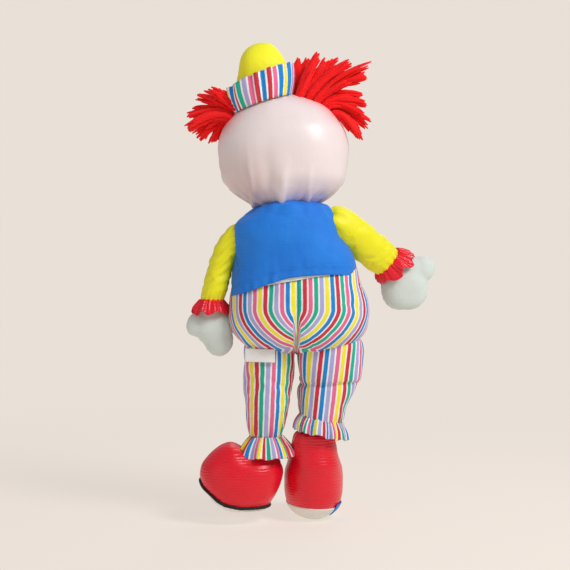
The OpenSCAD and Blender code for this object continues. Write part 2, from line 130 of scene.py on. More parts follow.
def faces_in(grid, n):
    away = grid - grid.reshape(-1, 3).mean(0)
    return (n * away).sum() < -0.05 * np.linalg.norm(away, axis=2).sum()

def top_first(grid, stripe):
    """Rows in the order that turns the faces outward, with the stripe numbers kept beside them."""
    n = np.cross(np.gradient(grid, axis=0), np.gradient(grid, axis=1))
    n = n / np.maximum(np.linalg.norm(n, axis=2, keepdims=True), 1e-9)
    if faces_in(grid, n):
        return grid[::-1], None if stripe is None else stripe[::-1]
    return grid, stripe

def soft_noise(points, size, seed, waves=16):
    rng = np.random.default_rng(seed)
    k = rng.normal(size=(waves, 3))
    k *= 2 * math.pi / (size * rng.uniform(0.7, 1.5, (waves, 1))) / np.linalg.norm(k, axis=1, keepdims=True)
    return np.sin(points @ k.T + rng.uniform(0, 2 * math.pi, waves)).sum(-1) / math.sqrt(waves / 2)

def turn(axis, degrees):
    a, b = {"x": (1, 2), "y": (2, 0), "z": (0, 1)}[axis]
    m = np.eye(3)
    c, s = math.cos(math.radians(degrees)), math.sin(math.radians(degrees))
    m[a, a], m[a, b], m[b, a], m[b, b] = c, -s, s, c
    return m

# %% [markdown]
# ## From a grid to a piece
# The grid becomes a mesh in metres. A closed bag gets a small fan at each end, and a panel gets the
# thickness of its cloth. The stripe number is kept on the face corners, so the cloth can meet itself at a
# seam without smearing the stripes.

# %% Grid to mesh
def to_metres(points):
    return (points + middle) / 1000

def mesh_piece(name, points, faces, stripe=None, material=None):
    mesh = bpy.data.meshes.new(name)
    mesh.from_pydata([tuple(p) for p in to_metres(points)], [], faces)
    mesh.polygons.foreach_set("use_smooth", np.ones(len(mesh.polygons), bool))
    if stripe is not None:
        layer = mesh.attributes.new("stripe", "FLOAT", "CORNER")
        layer.data.foreach_set("value", np.array(stripe, np.float32))
    rest = mesh.attributes.new("cloth_place", "FLOAT_VECTOR", "POINT")
    rest.data.foreach_set("vector", to_metres(points).astype(np.float32).ravel())
    mesh.validate()
    mesh.update()
    piece = bpy.data.objects.new(name, mesh)
    bpy.context.scene.collection.objects.link(piece)
    if material is not None:
        mesh.materials.append(material)
    return piece

def bag(name, grid, stripe=None, material=None):
    """A closed bag: the grid closes round itself and each end has a fan."""
    grid, stripe = top_first(grid, stripe)
    up, around = grid.shape[:2]
    points = np.concatenate([grid.reshape(-1, 3), [grid[0].mean(0)], [grid[-1].mean(0)]])
    faces, marks = [], []
    def mark(*spots):
        if stripe is not None:
            marks.extend(stripe[r, c] for r, c in spots)
    for r in range(up - 1):
        for c in range(around):
            d = (c + 1) % around
            faces.append((r * around + c, (r + 1) * around + c, (r + 1) * around + d, r * around + d))
            mark((r, c), (r + 1, c), (r + 1, c + 1), (r, c + 1))
    for c in range(around):
        d = (c + 1) % around
        faces.append((up * around, c, d))
        mark((0, c), (0, c), (0, c + 1))
        faces.append((up * around + 1, (up - 1) * around + d, (up - 1) * around + c))
        mark((up - 1, c), (up - 1, c + 1), (up - 1, c))
    return mesh_piece(name, points, faces, marks if stripe is not None else None, material)

def panel(name, grid, thick=1.2, stripe=None, material=None, closed=False):
    """A sheet with the thickness of its cloth: the grid is its outer face."""
    grid, stripe = top_first(grid, stripe)
    up, around = grid.shape[:2]
    inner = grid - outward(grid, closed) * thick
    points = np.concatenate([grid.reshape(-1, 3), inner.reshape(-1, 3)])
    faces, marks, back = [], [], up * around
    def add(corners, spots):
        faces.append(tuple(corners))
        if stripe is not None:
            marks.extend(stripe[r, c] for r, c in spots)
    spans = [(c, (c + 1) % around, c + 1) for c in range(around if closed else around - 1)]
    for r in range(up - 1):
        for c, d, e in spans:
            spots = [(r, c), (r + 1, c), (r + 1, e), (r, e)]
            loop = [r * around + c, (r + 1) * around + c, (r + 1) * around + d, r * around + d]
            add(loop, spots)
            add([back + v for v in loop[::-1]], spots[::-1])
    for c, d, e in spans:
        top = (up - 1) * around
        add([c, d, back + d, back + c], [(0, c), (0, e), (0, e), (0, c)])
        add([top + d, top + c, back + top + c, back + top + d],
            [(up - 1, e), (up - 1, c), (up - 1, c), (up - 1, e)])
    if not closed:
        for r in range(up - 1):
            a, b = r * around, (r + 1) * around
            add([b, a, back + a, back + b], [(r + 1, 0), (r, 0), (r, 0), (r + 1, 0)])
            a, b = a + around - 1, b + around - 1
            add([a, b, back + b, back + a],
                [(r, around - 1), (r + 1, around - 1), (r + 1, around - 1), (r, around - 1)])
    return mesh_piece(name, points, faces, marks if stripe is not None else None, material)

# %% [markdown]
# ## Stuffing by simulation
# A real bag is filled until the cloth is tight between its seams. Blender's Cloth can blow a bag up: the
# seams are pinned, the pressure pushes the rest outward, and the cloth is cut a little large, so that it
# wrinkles where the seams hold it. The move is capped, so that the piece stays in its CAD space. Only the
# shape is kept, so the bag can be cut into its panels afterwards.

# %% The stuffing helper
def stuffed(grid, hold, pressure=4.0, spare=0.03, reach=5.0, frames=20):
    """hold is 0 to 1 for each grid point: 1 is a seam. reach in mm is the most that a point may move."""
    piece = bag("being_stuffed", grid)
    mesh = piece.data
    before = np.array([v.co for v in mesh.vertices])
    group = piece.vertex_groups.new(name="seams")
    weight = np.ones(len(mesh.vertices))
    weight[:hold.size] = top_first(grid, hold)[1].ravel()
    for i in np.nonzero(weight > 0.01)[0]:
        group.add([int(i)], float(weight[i]), "REPLACE")
    cloth = piece.modifiers.new("stuffing", "CLOTH")
    s = cloth.settings
    s.quality, s.mass, s.tension_stiffness, s.compression_stiffness = 4, 0.3, 12, 12
    s.bending_stiffness, s.use_pressure, s.uniform_pressure_force = 0.4, True, pressure
    s.shrink_min = -spare
    s.effector_weights.gravity = 0
    s.vertex_group_mass = "seams"
    cloth.collision_settings.use_collision = False
    cloth.point_cache.frame_end = frames
    for number in range(1, frames + 1):
        bpy.context.scene.frame_set(number)
    evaluated = piece.evaluated_get(bpy.context.evaluated_depsgraph_get())
    after = np.array([v.co for v in evaluated.data.vertices])
    bpy.context.scene.frame_set(1)
    bpy.data.objects.remove(piece)
    bpy.data.meshes.remove(mesh)
    move = (after - before)[:hold.size] * 1000
    if top_first(grid, None)[0] is not grid:
        move = move.reshape(grid.shape)[::-1].reshape(-1, 3)
    size = np.linalg.norm(move, axis=1, keepdims=True)
    move *= reach * np.tanh(size / reach) / np.maximum(size, 1e-9)
    print("stuffed: moved up to", round(float(np.linalg.norm(move, axis=1).max()), 1), "mm")
    return grid + move.reshape(grid.shape)

# %% [markdown]
# ## Riding and what each piece stands for
# Most pieces move with a body of the CAD model; a piece handed anything other than a body's name stays where it is
# made. The CAD solids that a piece stands for are hidden, and stay in the physics model for collision.

# %% Handing a piece to the frame
def settle(piece, body, stands_for=()):
    if isinstance(body, str):
        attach(piece, body)
    else:
        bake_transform(piece)
    if stands_for:
        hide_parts(*stands_for)
    return piece

# %% [markdown]
# ## Cloth finishes
# The doll is cotton, satin, felt and yarn. Each cloth has a weave of one or two millimetres, a slight
# unevenness of dye, soft creases, and its own sheen. All of it comes from noise and waves in the shader,
# laid on the cloth's own place so that it doesn't slide when a limb moves.

# %% The cloth material
def node(tree, kind, **values):
    made = tree.nodes.new(kind)
    for key, value in values.items():
        setattr(made, key, value)
    return made

def srgb(*c):
    return tuple(((v / 255 + 0.055) / 1.055) ** 2.4 if v > 10 else v / 255 / 12.92 for v in c) + (1,)

def times(tree, first, second):
    made = node(tree, "ShaderNodeVectorMath", operation="MULTIPLY")
    tree.links.new(first, made.inputs[0])
    tree.links.new(second, made.inputs[1])
    return made.outputs["Vector"]

WAVE_STEP = 6.3  # turns a fineness into the wave texture's scale

def cloth_finish(name, colour, shade, rough=0.8, sheen=0.3, weave=900, weave_depth=0.25,
                 crease=90, crease_depth=0.3, specular=0.3, lines=0, patch=25, fleck=0.0, tinted=False):
    """colour and shade are the two dyes that the noise moves between. A larger weave or crease is finer.
    fleck is how much paler the raised threads are, and tinted multiplies in the mesh's own "tint"."""
    m = bpy.data.materials.new(name)
    m.use_nodes = True
    t = m.node_tree
    shader = t.nodes["Principled BSDF"]
    shader.inputs["Sheen Weight"].default_value = sheen
    shader.inputs["Sheen Roughness"].default_value = 0.45
    shader.inputs["Specular IOR Level"].default_value = specular
    place = node(t, "ShaderNodeAttribute", attribute_name="cloth_place")
    broad = node(t, "ShaderNodeTexNoise")
    broad.inputs["Scale"].default_value = patch
    broad.inputs["Detail"].default_value = 4
    t.links.new(place.outputs["Vector"], broad.inputs["Vector"])
    mix = node(t, "ShaderNodeMix", data_type="RGBA")
    mix.inputs["A"].default_value, mix.inputs["B"].default_value = colour, shade
    t.links.new(broad.outputs["Fac"], mix.inputs["Factor"])
    threads = []
    for axis, share in (("X", 1.0), ("Z", 0.8)):
        wave = node(t, "ShaderNodeTexWave", bands_direction=axis)
        wave.inputs["Scale"].default_value = weave * share / WAVE_STEP
        wave.inputs["Distortion"].default_value = 1.5
        wave.inputs["Detail"].default_value = 1
        wave.inputs["Detail Scale"].default_value = 2
        t.links.new(place.outputs["Vector"], wave.inputs["Vector"])
        threads.append(wave)
    cross = node(t, "ShaderNodeMath", operation="MAXIMUM")
    t.links.new(threads[0].outputs["Fac"], cross.inputs[0])
    t.links.new(threads[1].outputs["Fac"], cross.inputs[1])
    weave_bump = node(t, "ShaderNodeBump")
    weave_bump.inputs["Strength"].default_value = weave_depth
    weave_bump.inputs["Distance"].default_value = 0.0004
    t.links.new(cross.outputs[0], weave_bump.inputs["Height"])
    folds = node(t, "ShaderNodeTexNoise")
    folds.inputs["Scale"].default_value = crease
    folds.inputs["Detail"].default_value = 3
    folds.inputs["Distortion"].default_value = 0.6
    t.links.new(place.outputs["Vector"], folds.inputs["Vector"])
    fold_bump = node(t, "ShaderNodeBump")
    fold_bump.inputs["Strength"].default_value = crease_depth
    fold_bump.inputs["Distance"].default_value = 0.003
    t.links.new(folds.outputs["Fac"], fold_bump.inputs["Height"])
    t.links.new(weave_bump.outputs["Normal"], fold_bump.inputs["Normal"])
    last = fold_bump
    if lines:
        rib = node(t, "ShaderNodeTexWave", bands_direction="Z")
        rib.inputs["Scale"].default_value = lines / WAVE_STEP
        rib.inputs["Distortion"].default_value = 2.5
        rib.inputs["Detail"].default_value = 2
        t.links.new(place.outputs["Vector"], rib.inputs["Vector"])
        rib_bump = node(t, "ShaderNodeBump")
        rib_bump.inputs["Strength"].default_value = 0.35
        rib_bump.inputs["Distance"].default_value = 0.0006
        t.links.new(rib.outputs["Fac"], rib_bump.inputs["Height"])
        t.links.new(fold_bump.outputs["Normal"], rib_bump.inputs["Normal"])
        last = rib_bump
    t.links.new(last.outputs["Normal"], shader.inputs["Normal"])
    gloss = node(t, "ShaderNodeMapRange")
    gloss.inputs["To Min"].default_value, gloss.inputs["To Max"].default_value = rough - 0.08, rough + 0.08
    t.links.new(folds.outputs["Fac"], gloss.inputs["Value"])
    t.links.new(gloss.outputs["Result"], shader.inputs["Roughness"])
    dye = mix.outputs["Result"]
    if fleck:
        paler = node(t, "ShaderNodeMapRange")
        paler.inputs["To Min"].default_value, paler.inputs["To Max"].default_value = 1 + fleck, 1 - fleck
        t.links.new(cross.outputs[0], paler.inputs["Value"])
        dye = times(t, dye, paler.outputs["Result"])
    # The mesh's own tint: on the head it holds a painted reflection and painted shade.
    if tinted:
        dye = times(t, dye, node(t, "ShaderNodeAttribute", attribute_name="tint").outputs["Vector"])
    t.links.new(dye, shader.inputs["Base Color"])
    return m

# %% The plain cloths
vest_blue = cloth_finish("vest_blue", srgb(34, 142, 242), srgb(16, 108, 216), rough=0.62, sheen=0.12,
                         weave=1500, weave_depth=0.5, fleck=0.12, crease_depth=0.25)
sleeve_yellow = cloth_finish("sleeve_yellow", srgb(246, 242, 30), srgb(232, 224, 10), rough=0.5, sheen=0.08,
                             weave_depth=0.15, specular=0.4, crease_depth=0.15)
hat_yellow = cloth_finish("hat_yellow", srgb(250, 248, 50), srgb(244, 236, 30), rough=0.55, sheen=0.08,
                          crease_depth=0.12)
satin_red = cloth_finish("satin_red", srgb(240, 4, 40), srgb(222, 2, 30), rough=0.34, sheen=0.02,
                         weave_depth=0.1, lines=620, crease_depth=0.08, specular=0.5)
skin_satin = cloth_finish("skin_satin", srgb(240, 228, 226), srgb(228, 214, 214), rough=0.34, sheen=0.1,
                          weave_depth=0.12, specular=0.5, crease_depth=0.1, tinted=True)
hand_cotton = cloth_finish("hand_cotton", srgb(220, 230, 224), srgb(204, 214, 208), rough=0.8, sheen=0.2,
                           crease_depth=0.15)
yarn_red = cloth_finish("yarn_red", srgb(255, 10, 8), srgb(244, 2, 4), rough=0.7, sheen=0.12,
                        weave=1500, weave_depth=0.5, crease=400, crease_depth=0.4)
felt_red = cloth_finish("felt_red", srgb(222, 20, 36), srgb(196, 12, 28), rough=0.95, sheen=0.3, crease=500)
felt_black = cloth_finish("felt_black", srgb(30, 28, 30), srgb(16, 15, 18), rough=0.95, sheen=0.3,
                          crease=500)
felt_pink = cloth_finish("felt_pink", srgb(240, 128, 140), srgb(226, 108, 124), rough=0.95, sheen=0.3,
                         crease=500)
white_tape = cloth_finish("white_tape", srgb(240, 240, 236), srgb(226, 226, 220), rough=0.6, sheen=0.1)
sole_cloth = cloth_finish("sole_cloth", srgb(242, 240, 232), srgb(224, 221, 212), rough=0.85, sheen=0.15)
trim_black = cloth_finish("trim_black", srgb(30, 28, 32), srgb(16, 15, 18), rough=0.6, sheen=0.2)
trim_blue = cloth_finish("trim_blue", srgb(50, 130, 214), srgb(34, 108, 196), rough=0.6, sheen=0.15)
print("plain cloths:", len(bpy.data.materials))

# %% [markdown]
# ## The striped cotton
# The trousers and the hat's brim are cut from one cloth, printed with twenty-four coloured stripes and a
# white line between each two. A stripe number on the mesh says which stripe is where; a colour ramp turns
# it into dye. That keeps the stripes on the cloth through every bend and seam.

# %% The stripes
BLUE, YELLOW, GREEN, RED = srgb(14, 134, 206), srgb(240, 228, 48), srgb(20, 176, 148), srgb(206, 48, 66)
PINK, LAVENDER = srgb(230, 104, 148), srgb(170, 168, 216)
stripe_order = [BLUE, YELLOW, LAVENDER, RED, BLUE, LAVENDER, PINK, YELLOW, RED, GREEN, LAVENDER, PINK,
                BLUE, YELLOW, GREEN, RED, PINK, GREEN, LAVENDER, YELLOW, BLUE, RED, GREEN, PINK]
STRIPE_PITCH = 6.4

def striped_finish(name, order):
    m = cloth_finish(name, srgb(248, 246, 244), srgb(236, 233, 230), rough=0.7, sheen=0.12,
                     crease_depth=0.22)
    t = m.node_tree
    shader = t.nodes["Principled BSDF"]
    ground = shader.inputs["Base Color"].links[0].from_socket
    number = node(t, "ShaderNodeAttribute", attribute_name="stripe")
    place = next(n for n in t.nodes if n.type == "ATTRIBUTE" and n.attribute_name == "cloth_place")
    wander = node(t, "ShaderNodeTexNoise")
    wander.inputs["Scale"].default_value = 220
    t.links.new(place.outputs["Vector"], wander.inputs["Vector"])
    shift = node(t, "ShaderNodeMath", operation="MULTIPLY_ADD")
    shift.inputs[1].default_value = 0.12
    t.links.new(wander.outputs["Fac"], shift.inputs[0])
    t.links.new(number.outputs["Fac"], shift.inputs[2])
    share = node(t, "ShaderNodeMath", operation="DIVIDE")
    share.inputs[1].default_value = len(order)
    t.links.new(shift.outputs[0], share.inputs[0])
    lap = node(t, "ShaderNodeMath", operation="FRACT")
    t.links.new(share.outputs[0], lap.inputs[0])
    ramp = node(t, "ShaderNodeValToRGB")
    ramp.color_ramp.interpolation = "CONSTANT"
    for k, dye in enumerate(order):
        stop = ramp.color_ramp.elements[0] if k == 0 else ramp.color_ramp.elements.new(k / len(order))
        stop.color = dye
    ramp.color_ramp.elements.remove(ramp.color_ramp.elements[-1])
    t.links.new(lap.outputs[0], ramp.inputs["Fac"])
    part = node(t, "ShaderNodeMath", operation="FRACT")
    t.links.new(shift.outputs[0], part.inputs[0])
    from_middle = node(t, "ShaderNodeMath", operation="SUBTRACT")
    from_middle.inputs[1].default_value = 0.5
    t.links.new(part.outputs[0], from_middle.inputs[0])
    distance = node(t, "ShaderNodeMath", operation="ABSOLUTE")
    t.links.new(from_middle.outputs[0], distance.inputs[0])
    dyed = node(t, "ShaderNodeMapRange", interpolation_type="SMOOTHSTEP")
    dyed.inputs["From Min"].default_value, dyed.inputs["From Max"].default_value = 0.40, 0.32
    t.links.new(distance.outputs[0], dyed.inputs["Value"])
    mix = node(t, "ShaderNodeMix", data_type="RGBA")
    t.links.new(dyed.outputs["Result"], mix.inputs["Factor"])
    t.links.new(ground, mix.inputs["A"])
    t.links.new(ramp.outputs["Color"], mix.inputs["B"])
    t.links.new(mix.outputs["Result"], shader.inputs["Base Color"])
    return m

striped_cotton = striped_finish("striped_cotton", stripe_order)
print("stripes in one repeat:", len(stripe_order), "=", round(len(stripe_order) * STRIPE_PITCH), "mm")

# %% [markdown]
# ## The head
# The head is a bag of pale satin in a front and a back panel, filled round. The cloth is gathered where it
# is sewn to the neck, so folds rise from there and fade. Small puckers cross the side seam and the crown,
# where the hair is sewn in.

# %% The head's bag
head_low, head_high = node_box("head_back")
head_mid = (head_low[0] + head_high[0]) / 2
head_outline = [(-71, 8), (-69.5, 21), (-66, 35), (-57, 51), (-47, 64.5), (-34, 74), (-16, 77.5), (2, 78.5),
                (18, 75), (36, 63.5), (49, 50), (57, 36), (63, 20), (65.5, 8)]
HEAD_CENTRE = 155.6
CHIN = HEAD_CENTRE - 66
HEAD_WIDTH_SHARE = 0.975
def head_rows():
    for up, half in head_outline:
        flat = 0.70 + 0.06 * max(0, -up - 40) / 30
        yield (HEAD_CENTRE + up, half * HEAD_WIDTH_SHARE, half * HEAD_WIDTH_SHARE, half * flat,
               half * flat * 0.98, head_mid, 0)

head_grid, head_angle = rings(list(head_rows()), up=84, around=144, power=2.1)
head_normal = outward(head_grid)
height = (head_grid[:, :1, 2] - head_low[2])
behind = head_grid[..., 1] > 0
gather = np.exp(-np.clip(height + 2, 0, None) / 11)
tucks = np.cos(head_angle * 17 + 0.6) * 0.6 + np.cos(head_angle * 26 + 2.0) * 0.5
crown = np.exp(-np.clip(HEAD_CENTRE + 66 - head_grid[:, :1, 2], 0, None) / 9)
side = np.abs(head_grid[..., 0] - head_mid)
seam_gap = np.abs(np.abs(head_angle) - math.pi / 2) * np.maximum(side, 8) * 0.8
crossing = np.sin(head_grid[..., 2] / 3.1 + 1.3 * np.sin(head_grid[..., 2] / 17))

# Long folds at the back: where each runs, how wide it is, how high it stands and how far up it reaches.
BACK_FOLDS = [(47, 2.6, 4.0, 32), (27, 9.0, -4.8, 42), (9, 3.2, 3.2, 28), (-6, 7.0, -2.0, 22),
              (-20, 2.2, 2.8, 26),
              (-34, 6.0, -1.2, 20), (63, 5.0, -1.4, 26)]
long_folds = np.zeros(head_grid.shape[:2])
for fold_x, wide, tall, reach in BACK_FOLDS:
    here = fold_x + 0.10 * (height - 20) * np.sign(fold_x - 10)
    long_folds += tall * np.exp(-((head_grid[..., 0] - here) / wide) ** 2) * np.exp(-(np.clip(height, 0,
            None) / reach) ** 2)
tuck_rows = np.zeros(head_grid.shape[:2])
for level, deep in ((105, 1.6), (129, 1.8), (112, 1.2), (146, 0.9)):
    tuck_rows += deep * np.exp(-((head_grid[..., 2] - level) / 1.8) ** 2) * np.exp(-(seam_gap / 7) ** 2)
push = (gather * tucks * 1.4 + crown * np.cos(head_angle * 20) * 0.5 + long_folds * behind - tuck_rows
        - 1.3 * np.exp(-(seam_gap / 2.0) ** 2) + 0.35 * crossing * np.exp(-(seam_gap / 6) ** 2)
        + 0.5 * soft_noise(head_grid, 70, 3))
head_grid = head_grid + head_normal * push[..., None]
hold = np.clip(gather * 1.3, 0, 1) + np.exp(-(seam_gap / 3) ** 2)
hold = np.clip(np.where(head_grid[..., 2] > HEAD_CENTRE + 58, 1, hold), 0, 1)
head_grid = stuffed(head_grid, hold, reach=1.2, spare=0.0, pressure=2.0)
print("head", np.round(head_grid.reshape(-1, 3).max(0) - head_grid.reshape(-1, 3).min(0)), "mm")

# %% [markdown]
# The head's colour isn't even. It is pinker round the yarn's roots, a painted reflection of the blue vest gives the
# satin a lavender cast low down on its right, and painted shade makes its lower left side darker and browner. Each
# point of the head gets its own tint, so each change is gradual.

# %% Tint, painted reflection and painted shade
def paint_head_tint_and_shade(piece):
    spots = np.array([v.co for v in piece.data.vertices]) * 1000 - middle
    up = spots[:, 2] - HEAD_CENTRE
    lean = np.degrees(np.arctan2(spots[:, 0] - head_mid, up))
    outside = np.hypot(spots[:, 0] - head_mid, up) / 72
    roots = np.clip(1 - np.maximum(np.abs(lean + 30) - 27, 0) / 14, 0,
                    1) + np.clip(1 - np.maximum(np.abs(lean - 57) - 12, 0) / 12, 0, 1)
    # Pinker round the hair roots.
    pink_at_roots = np.clip(roots, 0, 1) * np.clip((outside - 0.72) / 0.3, 0, 1) ** 1.5
    # Painted reflection: a lavender cast from the blue vest, low down on the head's right side.
    low = np.clip((-up - 30) / 38, 0, 1) * np.clip((12 - spots[:, 0]) / 14, 0, 1)
    # Painted shade: the lower left side of the head is darker and browner.
    painted_side_shade = np.clip((-up + 10) / 60, 0, 1) * np.clip((spots[:, 0] - 10) / 30, 0, 1)
    shade = np.ones((len(spots), 3))
    shade *= 1 - pink_at_roots[:, None] * np.array([0.02, 0.50, 0.46])
    shade *= 1 - low[:, None] * np.array([0.34, 0.36, 0.14])
    shade *= 1 - painted_side_shade[:, None] * np.array([0.22, 0.32, 0.32])
    layer = piece.data.attributes.new("tint", "FLOAT_VECTOR", "POINT")
    layer.data.foreach_set("vector", shade.astype(np.float32).ravel())

# %% The head's two panels
quarter = head_grid.shape[1] // 4
back_half = head_grid[:, quarter:3 * quarter + 1]
front_half = np.concatenate([head_grid[:, 3 * quarter:], head_grid[:, :quarter + 1]], axis=1)
head_back_cloth = panel("head_back_cloth", back_half, 1.0, material=skin_satin)
head_front_cloth = panel("head_front_cloth", front_half, 1.0, material=skin_satin)
paint_head_tint_and_shade(head_back_cloth)
paint_head_tint_and_shade(head_front_cloth)
settle(head_back_cloth, "head", ["head_back", "head_fill"])
settle(head_front_cloth, "head", ["head_front"])

# %% [markdown]
# ## Finding the head's surface
# Hair, felt eyes and cheeks are sewn onto the head, so each needs the place on the cloth below it. A point
# straight out from the head's middle is found from the nearest grid point.

# %% The head's surface
head_points = head_grid.reshape(-1, 3)
head_middle = np.array([head_mid, 0, HEAD_CENTRE])
def on_head(direction, lift=0.0):
    direction = np.asarray(direction, float) / np.linalg.norm(direction)
    rays = head_points - head_middle
    reach = np.linalg.norm(rays, axis=1)
    close = (rays @ direction) / reach
    best = np.argsort(-close)[:4]
    weight = 1 / np.maximum(1 - close[best], 1e-6)
    return head_middle + direction * ((reach[best] * weight).sum() / weight.sum() + lift)

def face_point(across, level, lift=0.0):
    """A place on the face: across from its middle line, and level above the chin, both in mm."""
    target = np.array([head_mid + across, -54.0, CHIN + level])
    for _ in range(4):
        found = on_head(target - head_middle, lift)
        target = target + np.array([head_mid + across, 0, CHIN + level]) - found * [1, 0, 1]
        target[1] = found[1]
    return on_head(target - head_middle, lift)

# %% [markdown]
# ## Felt eyes and cheeks, a stitched smile and a wool nose
# The face is the plainest doll's face: two oval felt eyes halfway up the head, round cheeks, a short
# stitched smile and a round nose. Each felt piece is a thin cushion that follows the cloth under it.

# %% Felt pieces
def felt_piece(name, spots, wide, tall, material, stands_for, thick=1.6):
    points, faces = [], []
    for across, level in spots:
        base = len(points)
        rows, steps = 7, 40
        for r in range(rows):
            share = (r / (rows - 1)) ** 0.8
            for k in range(steps):
                a = 2 * math.pi * k / steps
                lift = 0.3 + thick * (1 - share ** 6) * (1 + 0.12 * math.sin(9 * a))
                points.append(face_point(across + wide / 2 * share * math.cos(a),
                                         level + tall / 2 * share * math.sin(a), lift))
        for r in range(rows - 1):
            for k in range(steps):
                j = (k + 1) % steps
                faces.append((base + r * steps + k, base + r * steps + j, base + (r + 1) * steps + j,
                              base + (r + 1) * steps + k))
    piece = mesh_piece(name, np.array(points), faces, material=material)
    return settle(piece, "head", stands_for)

felt_piece("eye_felt", [(-23, 74), (23, 74)], 11, 17, felt_black, ["eyes"])
felt_piece("cheek_felt", [(-39, 50), (39, 50)], 20, 20, felt_pink, ["cheeks"])

# %% Threads and tubes
def tube(path, radius, sides=6, taper=None):
    """Points and faces of a thread along a path."""
    path = np.array(path, float)
    run = np.gradient(path, axis=0)
    run /= np.maximum(np.linalg.norm(run, axis=1, keepdims=True), 1e-9)
    up = np.array([0.0, 0, 1]) if abs(run[0][2]) < 0.9 else np.array([0.0, 1, 0])
    points, faces = [], []
    for k, (p, d) in enumerate(zip(path, run)):
        across = np.cross(d, up)
        across /= max(np.linalg.norm(across), 1e-9)
        up = np.cross(across, d)
        r = radius * (taper[k] if taper is not None else 1)
        for j in range(sides):
            a = 2 * math.pi * j / sides
            points.append(p + (across * math.cos(a) + up * math.sin(a)) * r)
    n = len(path)
    for k in range(n - 1):
        for j in range(sides):
            i = (j + 1) % sides
            faces.append((k * sides + j, k * sides + i, (k + 1) * sides + i, (k + 1) * sides + j))
    faces.append(tuple(range(sides))[::-1])
    faces.append(tuple((n - 1) * sides + j for j in range(sides)))
    return points, faces

def bundle(name, threads, material):
    points, faces = [], []
    for p, f in threads:
        base = len(points)
        points.extend(p)
        faces.extend(tuple(base + v for v in face) for face in f)
    return mesh_piece(name, np.array(points), faces, material=material)

smile = [face_point(24 * t, 33 + 7.5 * t * t, 0.9) for t in np.linspace(-1, 1, 30)]
smile_stitches = []
for k in range(0, 29):
    smile_stitches.append(tube([smile[k],
                                smile[k] * 0.35 + smile[k + 1] * 0.65 + np.array([0, -0.7, 0.5]),
                                smile[k + 1] + np.array([0, 0, 0.8])], 1.2, 7))
smile_thread = bundle("smile_thread", smile_stitches, felt_red)
settle(smile_thread, "head", ["mouth"])

nose_low, nose_high = node_box("nose")
nose_mid = (nose_low + nose_high) / 2
rng = np.random.default_rng(7)
wool = []
for k in range(420):
    d = rng.normal(size=3)
    d /= np.linalg.norm(d)
    side_step = np.cross(d, rng.normal(size=3))
    side_step /= np.linalg.norm(side_step)
    reach = 9.4 + rng.uniform(-0.6, 0.7)
    wool.append(tube([nose_mid + d * 2, nose_mid + d * reach * 0.6 + side_step,
                      nose_mid + d * reach + side_step * 1.6], 0.95, 5, [1, 1, 0.8]))
nose_wool = bundle("nose_wool", wool, felt_red)
settle(nose_wool, "head", ["nose"])
print("face pieces: eyes, cheeks, smile, nose")

# %% [markdown]
# ## Yarn hair
# Each tuft is a hank of soft red yarn, sewn into the head's seam and fanned out. A tuft is modelled as
# separate strands, because the ends and the gaps between them are what makes it look like yarn. Each
# strand starts on the head, leaves it square, and bends towards its own tip.

# %% The two tufts
def yarn_tuft(name, roots, tips, count, clumps, seed, stands_for, deep):
    """roots is the span of the head's edge in degrees; tips is the outline of the tuft, root end to root end."""
    rng = np.random.default_rng(seed)
    tips = np.array(tips, float)
    along = np.concatenate([[0], np.cumsum(np.linalg.norm(np.diff(tips, axis=0), axis=1))])
    along /= along[-1]
    threads = []
    locks = [((k + 0.5) / clumps + rng.uniform(-0.2, 0.2) / clumps, rng.uniform(0.86, 1.04),
              rng.uniform(-0.7, 0.7)) for k in range(clumps)]
    for k in range(count):
        centre, share, back = locks[k % clumps]
        t = np.clip(centre + rng.normal(0, 0.22) / clumps, 0, 1)
        share = share * rng.uniform(0.9, 1.03) if rng.random() < 0.8 else rng.uniform(0.55, 0.8)
        back = np.clip(back + rng.uniform(-0.35, 0.35), -1, 1)
        lean = math.radians(roots[0] + (roots[1] - roots[0]) * np.clip(t + rng.normal(0, 0.03), 0, 1))
        root = on_head([math.sin(lean), back * 0.20, math.cos(lean)], -3)
        out = (root - head_middle) / np.linalg.norm(root - head_middle)
        tip = np.array([np.interp(t, along, tips[:, 0]), 0, np.interp(t, along, tips[:, 1])])
        tip = root * [1, 0, 1] + (tip - root) * [share, 0, share] + [0,
                back * deep * rng.uniform(0.7, 1.0), 0]
        length = np.linalg.norm(tip - root)
        bend = root + out * length * 0.40 + np.array([rng.normal(0, 2.5), 0, rng.normal(0, 2.5)])
        s = np.linspace(0, 1, 15)[:, None]
        path = (1 - s) ** 2 * root + 2 * s * (1 - s) * bend + s ** 2 * tip
        swing = rng.uniform(0, 2 * math.pi, 3)
        path = path + np.sin(s * rng.uniform(4, 8) + swing) * rng.uniform(0.3, 1.4) * np.minimum(1, s * 3)
        body = np.interp(s[:, 0], [0, 0.15, 0.7, 0.9, 1.0], [0.8, 1.0, 1.0, 0.8, 0.3])
        twist = 1 + 0.07 * np.sin(s[:, 0] * length / 1.1 + swing[0])
        threads.append(tube(path, rng.uniform(2.0, 2.8), 8, body * twist))
    piece = bundle(name, threads, yarn_red)
    settle(piece, "head", stands_for)
    print(name, count, "strands")
    return piece

yarn_tuft("hair_left_yarn", (44, 68), [(76, 223), (87, 229), (101, 230), (113, 224), (118, 213),
                           (123, 203), (122, 192), (126, 182), (121, 174), (106, 166), (96, 165),
                                       (86, 168), (80, 173)],
                           110, 11, 11, ["hair_left"], 20)
yarn_tuft("hair_right_yarn", (-9, -57), [(-3, 261), (-12, 266), (-30, 273), (-45, 269), (-56, 268),
                            (-70, 258), (-88, 256), (-84, 238), (-86, 226), (-87, 208), (-90, 190),
                                         (-82, 166), (-70, 170)],
                            190, 15, 12, ["hair_right"], 24)

# %% [markdown]
# ## The little hat
# The hat is a yellow cone with a rounded top, sewn to the head and lightly filled. Its brim is a band of
# the striped cotton, gathered round the foot of the cone and standing up and out, higher on one side.

